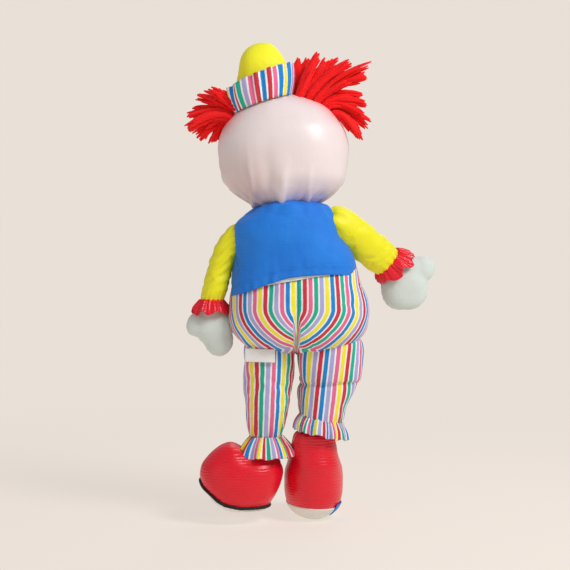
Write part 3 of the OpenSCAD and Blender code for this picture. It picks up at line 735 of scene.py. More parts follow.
# %% The hat's crown
CROWN_OUTLINE = [(203, 33, 29), (213, 33, 31.5), (225, 33.3, 32), (234, 33, 31.2), (243, 33.4, 29.6),
                 (254, 34, 27.5),
                 (262, 34.7, 24.8), (269, 35, 20.8), (275, 35, 15.8), (279, 34.6, 10), (280.5, 34.4, 4.5)]
crown_rows = [(z, h, h, h * 0.86, h * 0.86, x, 0) for z, x, h in CROWN_OUTLINE]
crown_grid, crown_angle = rings(crown_rows, up=56, around=88, power=2.05)
foot = np.exp(-np.clip(crown_grid[:, :1, 2] - 225, 0, None) / 14)
push = foot * np.cos(crown_angle * 9) * 0.5 + 0.7 * soft_noise(crown_grid, 48, 21)
crown_grid = crown_grid + outward(crown_grid) * push[..., None]
hold = np.clip(foot * 1.2, 0, 1) * np.ones(crown_grid.shape[:2])
crown_grid = stuffed(crown_grid, hold, pressure=2.0, reach=1.2, spare=0.01)
hat_crown_cloth = bag("hat_crown_cloth", crown_grid, material=hat_yellow)
settle(hat_crown_cloth, "head", ["hat_crown", "hat_fill"])

# %% [markdown]
# ## Gathered bands
# The brim, the cuffs and the ankle frills are all made the same way: a strip of cloth is gathered along one
# edge and the other edge is left free. The gathered edge has many small pleats, and they open into fewer,
# larger waves towards the free edge. One helper makes them all, with its own thickness of cloth.

# %% A gathered strip
def ruffle(sewn, free, waves, swing, seed, up=14, around=220, bulge=0.0, dip=0.0, fine=None):
    """sewn and free are functions from the angle to a point; the strip runs between them. dip is how far the
    free edge wanders up and down, and fine is the number of small pleats at the sewn edge."""
    rng = np.random.default_rng(seed)
    angle = np.linspace(-math.pi, math.pi, around, endpoint=False)
    a, b = sewn(angle), free(angle)
    s = np.linspace(0, 1, up)[:, None, None]
    grid = a[None] * (1 - s) + b[None] * s
    middle_line = (a + b) / 2 - (a + b).mean(0) / 2
    out = middle_line / np.maximum(np.linalg.norm(middle_line, axis=1, keepdims=True), 1e-9)
    warp = angle + 0.10 * np.sin(3 * angle + rng.uniform(0, 6)) + 0.06 * np.sin(7 * angle
            + rng.uniform(0, 6))
    large = np.sin(waves * warp + rng.uniform(0, 6)) * (1 + 0.35 * np.sin(2 * angle + rng.uniform(0, 6)))
    small = np.sin((fine or waves * 2.3) * warp + rng.uniform(0, 6))
    open_share = s[..., 0]
    wave = swing * (large[None] * open_share ** 0.8 + 0.35 * small[None] * (1 - 0.5 * open_share))
    wave = wave + bulge * np.sin(math.pi * open_share)
    grid = grid + out[None] * wave[..., None]
    drop = (b - a) / np.maximum(np.linalg.norm(b - a, axis=1, keepdims=True), 1e-9)
    edge = (0.6 * np.sin(waves * 1.7 * warp + 1.0) - dip * large) * open_share ** 2
    return grid + drop[None] * edge[..., None], angle

def ellipse(centre, wide, deep, tilt):
    c, s = math.cos(math.radians(tilt)), math.sin(math.radians(tilt))
    return lambda a: np.stack([centre[0] - np.sin(a) * wide * c, centre[1] + np.cos(a) * deep,
                               centre[2] + np.sin(a) * wide * s], axis=1)

# %% The hat's brim
brim_order = [LAVENDER, PINK, GREEN, BLUE, YELLOW, BLUE, RED, GREEN, LAVENDER, PINK, RED, BLUE, RED, PINK,
              BLUE,
              YELLOW, BLUE, LAVENDER, PINK, GREEN, YELLOW, RED, BLUE, PINK]
brim_cotton = striped_finish("brim_cotton", brim_order)
brim_grid, _ = ruffle(ellipse((33.5, 0, 207.5), 36, 33, 18), ellipse((37.5, 0, 240.5), 42.5, 38, 22),
                               13, 1.7, 31, bulge=2.0)
steps = np.linspace(-math.pi, math.pi, brim_grid.shape[1] + 1)
brim_stripe = np.repeat((11 + steps * 17 / math.pi)[None], brim_grid.shape[0], axis=0)
hat_brim_band = panel("hat_brim_band", brim_grid, 1.6, stripe=brim_stripe, material=brim_cotton,
                      closed=True)
settle(hat_brim_band, "head", ["hat_brim"])
print("brim", np.round(np.ptp(brim_grid.reshape(-1, 3), axis=0)), "mm")

# %% [markdown]
# ## The vest
# The vest is the doll's trunk: a back panel, two fronts that stop short of each other, and a yellow shirt
# front between them. Its hem runs at a slant, because the doll stands with its weight on one leg. An
# elastic in the back hem draws up small gathers, and the cloth sags into one soft dent in the lower back.

# %% The vest's form
HEM_SLOPE = -math.tan(math.radians(9.5))
HEM_LINE = ([-80, -62, -45, -30, -15, -5, 5.5, 15, 25.6, 41, 57, 75],
            [7, 9, 9.2, 8.8, 7.6, 6.6, 4.9, 2.4, -1.1, -6.8, -12.2, -15.5])
VEST_OUTLINE = [(-2, 72, 75, 50, 49), (10, 71.5, 75.5, 50.5, 50), (24, 69.5, 72.5, 50.5, 50),
                (40, 68.5, 66, 50, 49),
                (56, 68, 57, 48.5, 46), (68, 65, 53.5, 46.5, 43), (77, 57, 50, 44, 39),
                (84, 49, 46, 42, 35),
                (88.5, 43, 42.5, 40, 32), (92, 34, 31, 34, 28), (94.3, 26, 17, 30.5, 24),
                (94.0, 22, 13, 27, 20)]
vest_rows = [(z, left, right, back, front, 0, 0) for z, left, right, back, front in VEST_OUTLINE]
vest_grid, vest_angle = rings(vest_rows, up=76, around=168, power=2.35)
rise = np.clip(1 - (vest_grid[..., 2] + 2) / 56, 0, 1)
hem_height = vest_grid[..., 2] + 2
vest_grid[..., 2] += (np.interp(vest_grid[..., 0], *HEM_LINE) + 2) * rise
lay = vest_grid[..., 0]
near_hem = np.exp(-np.clip(hem_height, 0, None) / 13)
elastic = near_hem * np.exp(-((lay - 24) / 46) ** 2) * (vest_grid[..., 1] > 0)
gathers = np.sin(lay / 1.55 + 1.1 * np.sin(lay / 9)) * 0.9 + np.sin(lay / 3.4 + 2) * 0.8
dent = np.exp(-((lay - 26) / 30) ** 2 - ((hem_height - 36) / 17) ** 2) * (vest_grid[..., 1] > 0)
draw = np.exp(-((hem_height - 86) / 12) ** 2) * (np.cos(vest_angle * 15 + 0.4) + 0.6
                                                 * np.cos(vest_angle * 9))
slack = 0.8 * soft_noise(vest_grid * [0.6, 1, 1.2], 62, 41) + 0.12 * soft_noise(vest_grid * [0.6, 1, 1.3],
        20, 42)
push = gathers * elastic * 1.1 - 3.2 * dent + 0.7 * draw + slack
seam = np.abs(np.abs(vest_angle) - math.pi / 2) * 60
push = push - 1.3 * np.exp(-(seam / 3) ** 2) * np.ones_like(lay)
push = push - 1.2 * np.exp(-((hem_height - 9) / 1.4) ** 2) * (0.6 + 0.4 * np.sin(lay / 1.55))
vest_grid = vest_grid + outward(vest_grid) * push[..., None]
hold = np.clip(np.exp(-hem_height / 6) + np.exp(-(seam / 5) ** 2) + (hem_height > 88), 0, 1)
vest_grid = stuffed(vest_grid, hold, pressure=2.5, reach=1.5, spare=0.01)
print("vest", np.round(np.ptp(vest_grid.reshape(-1, 3), axis=0)), "mm")

# %% The vest's panels
side_column = vest_grid.shape[1] // 4
def columns(grid, first, last):
    return np.take(grid, np.arange(first, last + 1) % grid.shape[1], axis=1)

gap_column = next(c for c in range(vest_grid.shape[1]) if abs(vest_grid[20, c,
        0]) > 21 and vest_angle[c] < 0)
front_gap = vest_grid.shape[1] - next(c for c in range(vest_grid.shape[1]) if abs(vest_grid[20, -c - 1,
        0]) > 21) - 1
vest_back_cloth = panel("vest_back_cloth", columns(vest_grid, side_column, 3 * side_column), 1.2,
                        material=vest_blue)
settle(vest_back_cloth, "torso", ["vest_back", "chest_fill"])
left_front = panel("vest_front_left_cloth", columns(vest_grid, gap_column, side_column), 1.2,
                   material=vest_blue)
settle(left_front, "torso", ["vest_front_left"])
right_front = panel("vest_front_right_cloth", columns(vest_grid, 3 * side_column, front_gap), 1.2,
                    material=vest_blue)
settle(right_front, "torso", ["vest_front_right"])
shirt_grid = columns(vest_grid, front_gap - 3, vest_grid.shape[1] + gap_column + 3)
shirt_grid = shirt_grid - outward(shirt_grid, False) * 1.5
shirt_cloth = panel("shirt_front_cloth", shirt_grid, 1.0, material=sleeve_yellow)
settle(shirt_cloth, "torso", ["shirt_front"])

# %% [markdown]
# ## Shirt buttons
# Three round buttons close the shirt front. Each is a small cloth-covered dome with a turned rim, sewn
# through its middle, so it is built as a turned profile and not as a plain disc.

# %% Three covered buttons
def dome(centre, out, radius, high, steps=32):
    out = np.array(out, float) / np.linalg.norm(out)
    across = np.cross(out, [0, 0, 1.0])
    across /= np.linalg.norm(across)
    up = np.cross(across, out)
    profile = [(0.0, -1.2), (0.9, -1.2), (1.0, -0.4), (1.02, 0.3), (0.94, 0.7), (0.8, 0.85), (0.6, 0.98),
               (0.35, 1.0),
               (0.18, 0.86), (0.0, 0.72)]
    points, faces = [], []
    for r, h in profile:
        for k in range(steps):
            a = 2 * math.pi * k / steps
            points.append(np.array(centre) + (across * math.cos(a) + up * math.sin(a)) * max(r, 0.01)
                          * radius + out * h * high)
    for i in range(len(profile) - 1):
        for k in range(steps):
            j = (k + 1) % steps
            faces.append((i * steps + k, i * steps + j, (i + 1) * steps + j, (i + 1) * steps + k))
    return points, faces

buttons = []
for level in (20, 41, 61):
    low_row = np.argmin(np.abs(shirt_grid[:, shirt_grid.shape[1] // 2, 2] - level))
    spot = shirt_grid[low_row, shirt_grid.shape[1] // 2]
    buttons.append(dome(spot + [0, -0.6, 0], (0, -1, 0), 6, 2.2))
button_domes = bundle("shirt_button_domes", buttons, satin_red)
settle(button_domes, "torso", ["shirt_buttons"])

# %% [markdown]
# ## Sleeves, cuffs and hands
# Each arm is a yellow sleeve, a red frill at the wrist and a stuffed white mitten. The left arm hangs with
# creases across it where the stuffing is thin, and the right arm is held out to the side. Here each sleeve
# rides its arm as one piece, from the shoulder to the wrist.

# %% Arm frames
arm_turn = {"left": np.eye(3), "right": turn("y", 57) @ turn("x", -24)}
def on_arm(side, local):
    return shoulder[side] + np.asarray(local, float) @ arm_turn[side].T

LEFT_SLEEVE = [(17, 4, 4, 6, 6, -4), (13, 12, 10, 13, 13, -2), (6, 16.5, 15, 18, 18, 1),
               (-2, 19.5, 16, 20, 20, 4.5),
               (-13, 18, 16, 21, 20, 11), (-24, 15.5, 15, 21, 20, 17.5), (-36, 14.5, 14, 21, 20, 22),
               (-50, 14.5, 14.5, 21, 19, 26),
               (-62, 14.5, 14.5, 20, 18, 28.5), (-69, 13.5, 13.5, 18, 16, 30.5),
               (-74, 12.5, 12.5, 15, 14, 31.5)]
RIGHT_SLEEVE = [(25, 5, 8, 7, 7, -2), (20, 13, 17, 15, 15, 0), (8, 19.5, 22.5, 20, 20, 0),
                (-8, 21, 22.6, 21, 20, 0),
                (-27, 21.4, 21.4, 20.5, 19, 0), (-43, 21.8, 20.6, 19.5, 18, 0),
                (-60, 22.6, 19.6, 18, 17, 0),
                (-69, 21, 18, 16, 15, 0), (-75, 19, 16, 14, 13, 0)]

def sleeve(side, outline, seed, crease_size, slant, depth):
    rows = [(z, a, b, back, front, x, 0) for z, a, b, back, front, x in outline]
    grid, angle = rings(rows, up=88, around=96, power=2.15)
    along = np.clip((20 - grid[..., 2]) / 95, 0, 1)
    cuff_pull = np.exp(-np.clip(grid[..., 2] + 73, 0, None) / 6)
    root_pull = np.exp(-np.clip(14 - grid[..., 2], 0, None) / 10)
    tilt = grid[..., 2] + slant * grid[..., 0]
    across = np.sin(tilt / crease_size + 1.4 * soft_noise(grid, 40, seed)) * np.clip(0.4 + 0.8
            * soft_noise(grid, 45, seed + 3), 0, 1)
    push = (depth * across * np.sin(math.pi * along ** 0.8) + cuff_pull * np.cos(angle * 15 + 1) * 0.9
            + root_pull * np.cos(angle * 7) * 1.0 + 0.5 * soft_noise(grid, 55, seed + 1))
    grid = grid + outward(grid) * push[..., None]
    hold = np.clip(cuff_pull + root_pull, 0, 1) * np.ones(grid.shape[:2])
    grid = stuffed(grid, hold, pressure=2.5, reach=1.2, spare=0.01)
    piece = bag(side + "_sleeve_cloth", on_arm(side, grid), material=sleeve_yellow)
    return settle(piece, side + "_arm",
                  [side + "_sleeve", side + "_arm_fill", side + "_shoulder_fill"])

sleeve("left", LEFT_SLEEVE, 51, 1.5, 0.55, 0.75)
sleeve("right", RIGHT_SLEEVE, 61, 3.2, -0.5, 0.45)

# %% Cuffs
def arm_ring(side, height, wide, deep, middle_x=0.0, skew=0.0):
    base = wrist_local[side]
    def points(a):
        x, y = -np.sin(a) * wide + middle_x, np.cos(a) * deep
        return on_arm(side, np.stack([base[0] + x, base[1] + y, base[2] + height + skew * x], axis=1))
    return points

wrist_local = {side: (wrist[side] - shoulder[side]) @ arm_turn[side] for side in ("left", "right")}
for side, sewn, free, dip, seed in (("left", (1, 14, 16.5), (-14, 23, 25), 3.4, 71),
                                    ("right", (0, 18.5, 15.5, 0, 0.2), (-15, 26.5, 25, 2, 0.26), 4.2, 72)):
    grid, angle = ruffle(arm_ring(side, *sewn), arm_ring(side, *free), 7, 2.4, seed, bulge=1.0, dip=dip,
                         fine=29)
    band = panel(side + "_cuff_frill", grid, 1.0, material=satin_red, closed=True)
    settle(band, side + "_arm", [side + "_cuff"])
print("cuffs made")

# %% [markdown]
# ## Mittens
# A mitten hand is two flat shapes sewn together and turned, with a thumb. Its parts are joined as rounded
# lumps with a remesh, which melts the thumb into the palm as stuffing does, and a seam runs round the edge.

# %% Stuffed mittens
def lump(points_at, centre, size, tilt):
    """A rounded lump: centre, half sizes, and its turn about the arm's front-to-back axis."""
    mesh_points, faces = [], []
    m = turn("y", tilt)
    rows, steps = 22, 32
    for i in range(rows + 1):
        b = math.pi * i / rows
        for k in range(steps):
            a = 2 * math.pi * k / steps
            local = np.array([math.sin(b) * math.cos(a) * size[0], math.sin(b) * math.sin(a) * size[1],
                              math.cos(b) * size[2]])
            mesh_points.append(points_at(m @ local + centre))
    for i in range(rows):
        for k in range(steps):
            j = (k + 1) % steps
            faces.append((i * steps + k, (i + 1) * steps + k, (i + 1) * steps + j, i * steps + j))
    return mesh_points, faces

def mitten(side, lumps, flat_y, seed):
    place = lambda local: wrist[side] + np.asarray(local)
    rough = bundle(side + "_mitten_cloth", [lump(place, np.array(c, float), s, t) for c, s, t in lumps],
                   None)
    remesh = rough.modifiers.new("melt", "REMESH")
    remesh.mode, remesh.voxel_size = "VOXEL", 0.0016
    smooth = rough.modifiers.new("soften", "SMOOTH")
    smooth.iterations, smooth.factor = 14, 0.6
    done = bpy.data.meshes.new_from_object(rough.evaluated_get(bpy.context.evaluated_depsgraph_get()))
    bpy.data.objects.remove(rough)
    points = np.array([v.co for v in done.vertices]) * 1000 - middle
    normals = np.array([v.normal for v in done.vertices])
    local = points - wrist[side]
    edge = np.abs(local[:, 1] - flat_y)
    pull = np.exp(-np.clip(np.linalg.norm(local, axis=1) - 12, 0, None) / 6)
    push = (-1.2 * np.exp(-(edge / 1.2) ** 2) + 0.3 * np.sin(local[:, 2] / 1.5 + local[:, 0] / 1.8)
            * np.exp(-(edge / 4) ** 2)
            + 0.45 * soft_noise(local, 34, seed) + 0.7 * pull * np.sin(local[:, 0] / 1.7))
    points = points + normals * push[:, None]
    faces = [tuple(f.vertices) for f in done.polygons]
    bpy.data.meshes.remove(done)
    piece = mesh_piece(side + "_mitten_cloth", points, faces, material=hand_cotton)
    return settle(piece, side + "_hand", [side + "_hand", side + "_hand_fill"])

left_mitten = mitten("left", [((1, 0, -12), (12, 11, 14), 0), ((-3, 0, -33), (23, 15, 23), -8),
                              ((-8, 0, -47), (18, 13, 19), 12),
                              ((17, 0, -28), (12, 10.5, 15), -18)], 0, 81)
right_mitten = mitten("right", [((-4, -1, -8), (15, 11, 15), 0), ((-20, -7, -31), (28, 16, 31), -20),
                                ((-31, -8, -41), (17, 13, 22), -30),
                                ((-43, -8, -11), (17, 12, 16), 20), ((-28, -7, -13), (20, 13, 17), 0)],
                      -7, 83)
print("mittens:", len(left_mitten.data.vertices), len(right_mitten.data.vertices), "points")

# %% [markdown]
# ## The seat of the trousers
# The seat is a wide bag in a left and a right panel, with a seam down the middle of the back. The stripes
# run down each panel and meet the seam at a slant lower down, because the panels are curved there. The
# seat hangs from the vest's hem and is filled less tightly than the head.

# %% The seat's bag
SEAT_OUTLINE = [(22, 40, 44, 20, 20), (16, 60, 64, 36, 34), (4, 70, 74, 45, 44), (-10, 73.5, 80, 50, 50),
                (-22, 74.5, 85, 53, 54),
                (-36, 74, 88.5, 55, 56), (-46, 72, 88.5, 55.5, 56), (-56, 68, 86, 54, 54),
                (-65, 62, 78, 50, 50),
                (-73, 53, 65, 42, 43), (-79, 40, 46, 31, 32), (-82.5, 22, 26, 18, 18), (-83.5, 6, 6, 6, 6)]
SEAM_X = -5
seat_rows = [(z, left + 5, right - 5, back, front, SEAM_X, 0) for z, left, right, back,
             front in SEAT_OUTLINE]
seat_grid, seat_angle = rings(seat_rows, up=84, around=176, power=2.3)
lift = np.clip((seat_grid[..., 2] + 60) / 50, 0, 1)
seat_grid[..., 2] += HEM_SLOPE * seat_grid[..., 0] * lift

def arc_from_back(grid):
    """Signed length of cloth from the centre back, for each point and for the closing column."""
    closed = np.concatenate([grid, grid[:, :1]], axis=1)
    step = np.linalg.norm(np.diff(closed, axis=1), axis=2)
    run = np.concatenate([np.zeros((len(grid), 1)), np.cumsum(step, axis=1)], axis=1)
    return run - run[:, grid.shape[1] // 2:grid.shape[1] // 2 + 1]

cloth_run = arc_from_back(seat_grid)
height_of = np.concatenate([seat_grid[..., 2], seat_grid[:, :1, 2]], axis=1)
half_round = np.abs(cloth_run[:, -1:])
swallow = 48 * (np.clip(-height_of - 30, 0, 46) / 46) ** 1.6
seat_stripe = 14.0 + np.sign(cloth_run) * (swallow + np.abs(cloth_run)
                                           * (1 - swallow / np.maximum(half_round, 60))) / STRIPE_PITCH
seam_gap = np.abs(cloth_run[:, :-1])
depth_down = -seat_grid[..., 2]
pull_in = 1.5 * np.exp(-(seam_gap / 1.8) ** 2) + 1.6 * np.exp(-(seam_gap / 10) ** 2) * np.clip(depth_down / 80, 0, 1)
pucker = np.sin(depth_down / 2.6 + 1.2 * np.sin(depth_down / 13)) * np.exp(-(seam_gap / 9) ** 2) * 0.6
bottom_pull = np.exp(-np.clip(80 - depth_down, 0, None) / 9)
push = (-pull_in * np.clip(depth_down / 12, 0.2, 1) + pucker + 0.7 * soft_noise(seat_grid, 50, 91) + 0.15
        * soft_noise(seat_grid, 16, 92)
        + bottom_pull * np.sin(seat_angle * 15) * 0.9)
seat_grid = seat_grid + outward(seat_grid) * push[..., None]
hold = np.clip(np.exp(-(seam_gap / 4) ** 2) + (depth_down < 0) + (depth_down > 78), 0, 1)
seat_grid = stuffed(seat_grid, hold, pressure=3.0, reach=2.0, spare=0.015)

# %% The seat's two panels
half = seat_grid.shape[1] // 2
seat_left_cloth = panel("seat_left_cloth", seat_grid[:, :half + 1], 1.1, stripe=seat_stripe[:, :half + 1],
                        material=striped_cotton)
settle(seat_left_cloth, "seat", ["seat_left", "seat_fill"])
seat_right_cloth = panel("seat_right_cloth", columns(seat_grid, half, 2 * half), 1.1,
                         stripe=seat_stripe[:, half:], material=striped_cotton)
settle(seat_right_cloth, "seat", ["seat_right"])
print("seat", np.round(np.ptp(seat_grid.reshape(-1, 3), axis=0)), "mm")

# %% [markdown]
# ## Trouser legs
# Each leg is a tube of the same cotton, filled and gathered at the ankle. The right leg is fuller and has a crease
# behind the knee, where the doll has been sat down. The top of a leg goes up inside the seat, so the joint is
# covered. The leg's cloth is not attached to the leg's body, so it stays where it is made.

# %% Two legs
leg_turn = {"left": np.eye(3), "right": turn("y", -6)}
def on_leg(side, local):
    return hip[side] + np.asarray(local, float) @ leg_turn[side].T

LEFT_LEG = [(17, 6, 6, 6, 6, 0), (14, 18, 18, 16, 16, 0), (6, 26, 26, 24, 24, 0),
            (-5, 29.5, 29.5, 28, 28, 0), (-20, 30, 29.5, 29, 28.5, 0),
            (-40, 29, 28.5, 29, 28, 0.5), (-62, 27, 27, 27.5, 26.5, 1.5), (-82, 24.5, 24, 25, 24, 2),
            (-96, 21.5, 21, 21.5, 21, 2.6),
            (-108, 17, 17, 17, 17, 3), (-122, 14, 14, 14, 14, 3), (-136, 12, 12, 12, 12, 3),
            (-141, 8, 8, 8, 8, 3)]
RIGHT_LEG = [(22, 6, 6, 6, 6, 0), (18, 22, 22, 18, 18, 0), (8, 33, 36, 28, 27, 0),
             (-4, 36, 41, 31, 30, 0), (-20, 35, 41.5, 32, 31, 0),
             (-34, 33, 41, 31, 30.5, 0), (-43, 31.5, 38.5, 28.5, 30, 0), (-48, 31, 35, 26, 29.5, 0),
             (-54, 31, 33, 26.5, 28.5, 0),
             (-68, 30.5, 27.5, 27, 26.5, 0), (-84, 27.5, 25.5, 25.5, 24, 0), (-97, 22, 21, 21.5, 21, 0),
             (-106, 17, 17, 17, 17, 0),
             (-115, 13.5, 13.5, 13.5, 13.5, 0), (-121, 8, 8, 8, 8, 0)]

def trouser(side, outline, first_stripe, seed, blend_to):
    rows = [(z, a, b, back, front, x, 0) for z, a, b, back, front, x in outline]
    grid, angle = rings(rows, up=88, around=120, power=2.1)
    stripe = first_stripe + arc_from_back(grid) / STRIPE_PITCH
    ankle_pull = np.exp(-np.clip(grid[..., 2] + 104, 0, None) / 14)
    knee = np.exp(-((grid[..., 2] + 47 + 0.12 * grid[..., 0]) / 3.2) ** 2) if side == "right" else 0
    push = (ankle_pull * (np.cos(angle * 12 + 2) * 1.2 + np.cos(angle * 19) * 0.6) - 2.0 * knee
            + 0.8 * soft_noise(grid * [1, 1, 0.7], 42, seed) + 0.2 * soft_noise(grid, 14, seed + 1))
    grid = grid + outward(grid) * push[..., None]
    hold = np.clip(ankle_pull + (grid[..., 2] > 8), 0, 1) * np.ones(grid.shape[:2])
    grid = stuffed(grid, hold, pressure=3.0, reach=1.8, spare=0.015)
    piece = bag(side + "_trouser_cloth", on_leg(side, grid), stripe=stripe, material=striped_cotton)
    return settle(piece, ("seat", side + "_leg", on_leg(side, (0, 0, blend_to + 22)),
                          on_leg(side, (0, 0, blend_to))),
                  [side + "_trouser", side + "_leg_fill"])

trouser("left", LEFT_LEG, 10.5, 101, -4)
trouser("right", RIGHT_LEG, 4.9, 111, -2)

# %% Ankle frills
def leg_ring(side, height, wide, deep, x=0.0, y=0.0, skew=0.0, wave=0.0):
    def points(a):
        px, py = -np.sin(a) * wide + x, np.cos(a) * deep + y
        return on_leg(side, np.stack([px, py, height + skew * px + wave * np.sin(2 * a + 1)], axis=1))
    return points

for side, sewn, free, first, seed in (
        ("left", (-106, 19, 19, 3), (-129, 33, 32, 2.5, 1), 9.0, 121),
        ("right", (-87, 25, 24, 0, 0, 0.14), (-106, 32.5, 31, -1, 1, 0.10), 3.0, 131)):
    grid, angle = ruffle(leg_ring(side, *sewn), leg_ring(side, *free), 12, 2.5, seed, up=18, bulge=2.0,
                         dip=1.2, fine=31)
    stripe = first + arc_from_back(grid[:1]) / STRIPE_PITCH * np.ones((grid.shape[0], 1)) * 1.5
    frill = panel(side + "_frill_cloth", grid, 1.1, stripe=stripe, material=striped_cotton, closed=True)
    settle(frill, side + "_leg", [side + "_frill"])
print("legs made")

# %% [markdown]
# ## The care label
# A blank white tape hangs from the seam under the left side of the seat. It hangs free, so it has a slight
# curl.

# %% The label
label_low, label_high = node_box("care_label")
LABEL_ROWS, LABEL_COLUMNS = 14, 28
wide = np.linspace(label_low[0], label_high[0], LABEL_COLUMNS)
tall = np.linspace(label_high[2], label_low[2], LABEL_ROWS)
label_grid = np.zeros((LABEL_ROWS, LABEL_COLUMNS, 3))
for r, z in enumerate(tall):
    for c, x in enumerate(wide):
        drop = (label_high[2] - z) / (label_high[2] - label_low[2])
        label_grid[r, c] = [x, label_high[1] + 0.7 * math.sin(c / (LABEL_COLUMNS - 1) * math.pi * 1.5)
                            * drop + 0.5 * drop ** 2, z + 0.03 * (x - wide[0])]
care_label_tape = panel("care_label_tape", label_grid[::-1], 0.7, material=white_tape)
settle(care_label_tape, "care_label", ["care_label"])
print("label", round(float(wide[-1] - wide[0])), "by", round(float(tall[0] - tall[-1])), "mm")

# %% [markdown]
# ## Big shoes
# The shoes are red satin bags with a round toe and a pale stuffed sole that wraps up their edge. The left one lies
# along the doll's width, dips at the ankle behind its high toe, and has a black line round the top of its sole,
# where the satin meets it. The right one points forward, so its heel cup shows, with a blue patch at its edge.

# %% Two shoes
ankle_turn = {"left": np.eye(3), "right": turn("z", -90)}
def on_foot(side, local):
    return ankle[side] + np.asarray(local, float) @ ankle_turn[side].T

SHOE_HEIGHT = {"left": 80, "right": 97.0}
LEFT_SHOE = [(3.2, 29.5, 21, 22, 29.5), (8, 33, 31, 28, 29), (18, 38.5, 40.5, 33.5, 27.5),
             (30, 45, 47.5, 35, 28), (43, 48, 50, 35, 28),
             (52, 45, 50.5, 34, 26), (60, 39, 49.5, 32, 22), (68, 34, 46, 29, 18), (75, 29, 39, 26, 15),
             (80, 24, 30, 22, 11),
             (83, 17, 20, 17, 6), (84, 10, 12, 12, 3)]
RIGHT_SHOE = [(1.2, 22, 22, 13, 30), (4, 30, 30, 19, 30), (8.3, 35.5, 36, 24.4, 30),
              (14, 39.5, 40, 29, 29.5), (20.6, 43, 43.5, 32.2, 28.5),
              (30, 46.5, 47, 34, 28), (39, 49, 49.5, 34.6, 28), (50, 50, 50.5, 34.6, 27),
              (58, 49.5, 50, 34, 25), (66, 47, 48, 32, 21),
              (77, 40, 41, 28.9, 15.5), (86, 32, 32, 27, 9), (93, 26, 25, 25.3, 4), (101, 23, 22, 23, 1),
              (105, 19, 18, 19, 0),
              (107.5, 12, 12, 12, 0)]
FOOT_SIDE = {"left": 0.0, "right": 6.0}

def shoe(side, outline, seed):
    """The shoe's bag: the grid's angle is -90 at the left shoe's toe and 90 at the right shoe's heel."""
    tall = SHOE_HEIGHT[side]
    rows = [(h - tall, b, a, d, d, x, FOOT_SIDE[side]) for h, a, b, d, x in outline]
    grid, angle = rings(rows, up=84, around=144, power=2.2)
    level, grid_x = grid[..., 2] + tall, grid[..., 0]
    if side == "left":
        saddle = np.clip((level - 40) / 34, 0, 1) ** 1.5 * np.exp(-((grid_x - 2) / 32) ** 4)
        grid[..., 2] -= 17 * saddle
    ankle_pull = np.exp(-np.clip(rows[-1][0] - 2 - grid[..., 2], 0,
                                 None) / 9) * np.exp(-((grid_x - 2) / 34) ** 2)
    sole_pull = np.exp(-np.clip(level - 4, 0, None) / 5)
    mid_gap = np.abs(grid[..., 1] - FOOT_SIDE[side])
    top_seam = np.exp(-(mid_gap / 1.6) ** 2) * (grid_x > 34)
    push = (ankle_pull * np.cos(angle * 13) * 0.8 + sole_pull * np.sin(angle * 34) * 0.25 - 1.0 * top_seam
            + 0.6 * soft_noise(grid, 60, seed) + 0.1 * soft_noise(grid * [0.7, 1, 1.5], 20, seed + 1))
    grid = grid + outward(grid) * push[..., None]
    hold = np.clip(ankle_pull + sole_pull + 0.7 * top_seam, 0, 1)
    grid = stuffed(grid, hold, pressure=2.5, reach=1.2, spare=0.0)
    piece = bag(side + "_shoe_satin", on_foot(side, grid), material=satin_red)
    settle(piece, side + "_foot", [side + "_shoe", side + "_shoe_fill"])
    return grid, np.degrees(angle)

def at_level(grid, tall, wanted, proud):
    """A line on the shoe at the wanted height above its base, for each column, standing proud of the cloth."""
    normal = outward(grid)
    line = np.zeros((grid.shape[1], 3))
    for c in range(grid.shape[1]):
        level = grid[:, c, 2] + tall
        row = np.interp(wanted[c], level[:grid.shape[0] // 2], np.arange(grid.shape[0] // 2))
        low = int(row)
        both = grid[low, c] + (grid[low + 1, c] - grid[low, c]) * (row - low)
        line[c] = both + normal[low, c] * proud
    return line

# How high the pale sole wraps up the shoe, in mm, round from the back.
SOLE_TOP = {"left": ([-180, -150, -135, -120, -90, -60, -45, -30, 0, 180],
                     [5, 9, 14, 24, 35, 24, 14, 9, 5.5, 5]),
            "right": ([-180, -90, 0, 90, 180], [14, 9, 20, 16.5, 14])}
for side, outline, seed in (("left", LEFT_SHOE, 141), ("right", RIGHT_SHOE, 151)):
    tall = SHOE_HEIGHT[side]
    grid, degrees = shoe(side, outline, seed)
    top = np.interp(degrees, *SOLE_TOP[side])
    base = grid[0] * [1, 1, 0] - [0, 0, tall]
    centre = base.mean(0)
    layers = [centre + (base - centre) * 0.86, centre + (base - centre) * 0.97 + [0, 0, 0.5]]
    for share in np.linspace(0.12, 1.0, 12):
        layers.append(at_level(grid, tall, 2 + (top - 2) * share, 0.9))
    layers.append(at_level(grid, tall, top + 0.4, -0.6))
    sole_piece = bag(side + "_sole_pad", on_foot(side, np.array(layers)), material=sole_cloth)
    settle(sole_piece, side + "_foot", [side + "_sole"])
    if side == "left":
        # A black line round the top of the left sole, where the satin meets it.
        edge = at_level(grid, tall, top + 0.6, 0.8)
        black_line_path = on_foot(side, np.concatenate([edge, edge[:1]]))
        trim = bundle("left_sole_black_line", [tube(black_line_path, 2.0, 10)], trim_black)
        settle(trim, "left_foot", ["left_shoe_trim"])
    else:
        heel = [c for c in range(len(degrees)) if 138 < degrees[c] < 178]
        patch = np.array([at_level(grid, tall, np.full(len(degrees), h),
                                   1.9)[heel] for h in np.linspace(7, 20, 10)])
        trim = panel("right_heel_patch", on_foot(side, patch), 1.0, material=trim_blue)
        settle(trim, "right_foot", ["right_shoe_trim"])
print("shoes made")

# %% [markdown]
# ## The pieces that keep their CAD shape
# The pocket's lining, the elastic in the hem and the finger tube have the right shape already, and are
# hardly seen. They only get a cloth finish of their own.

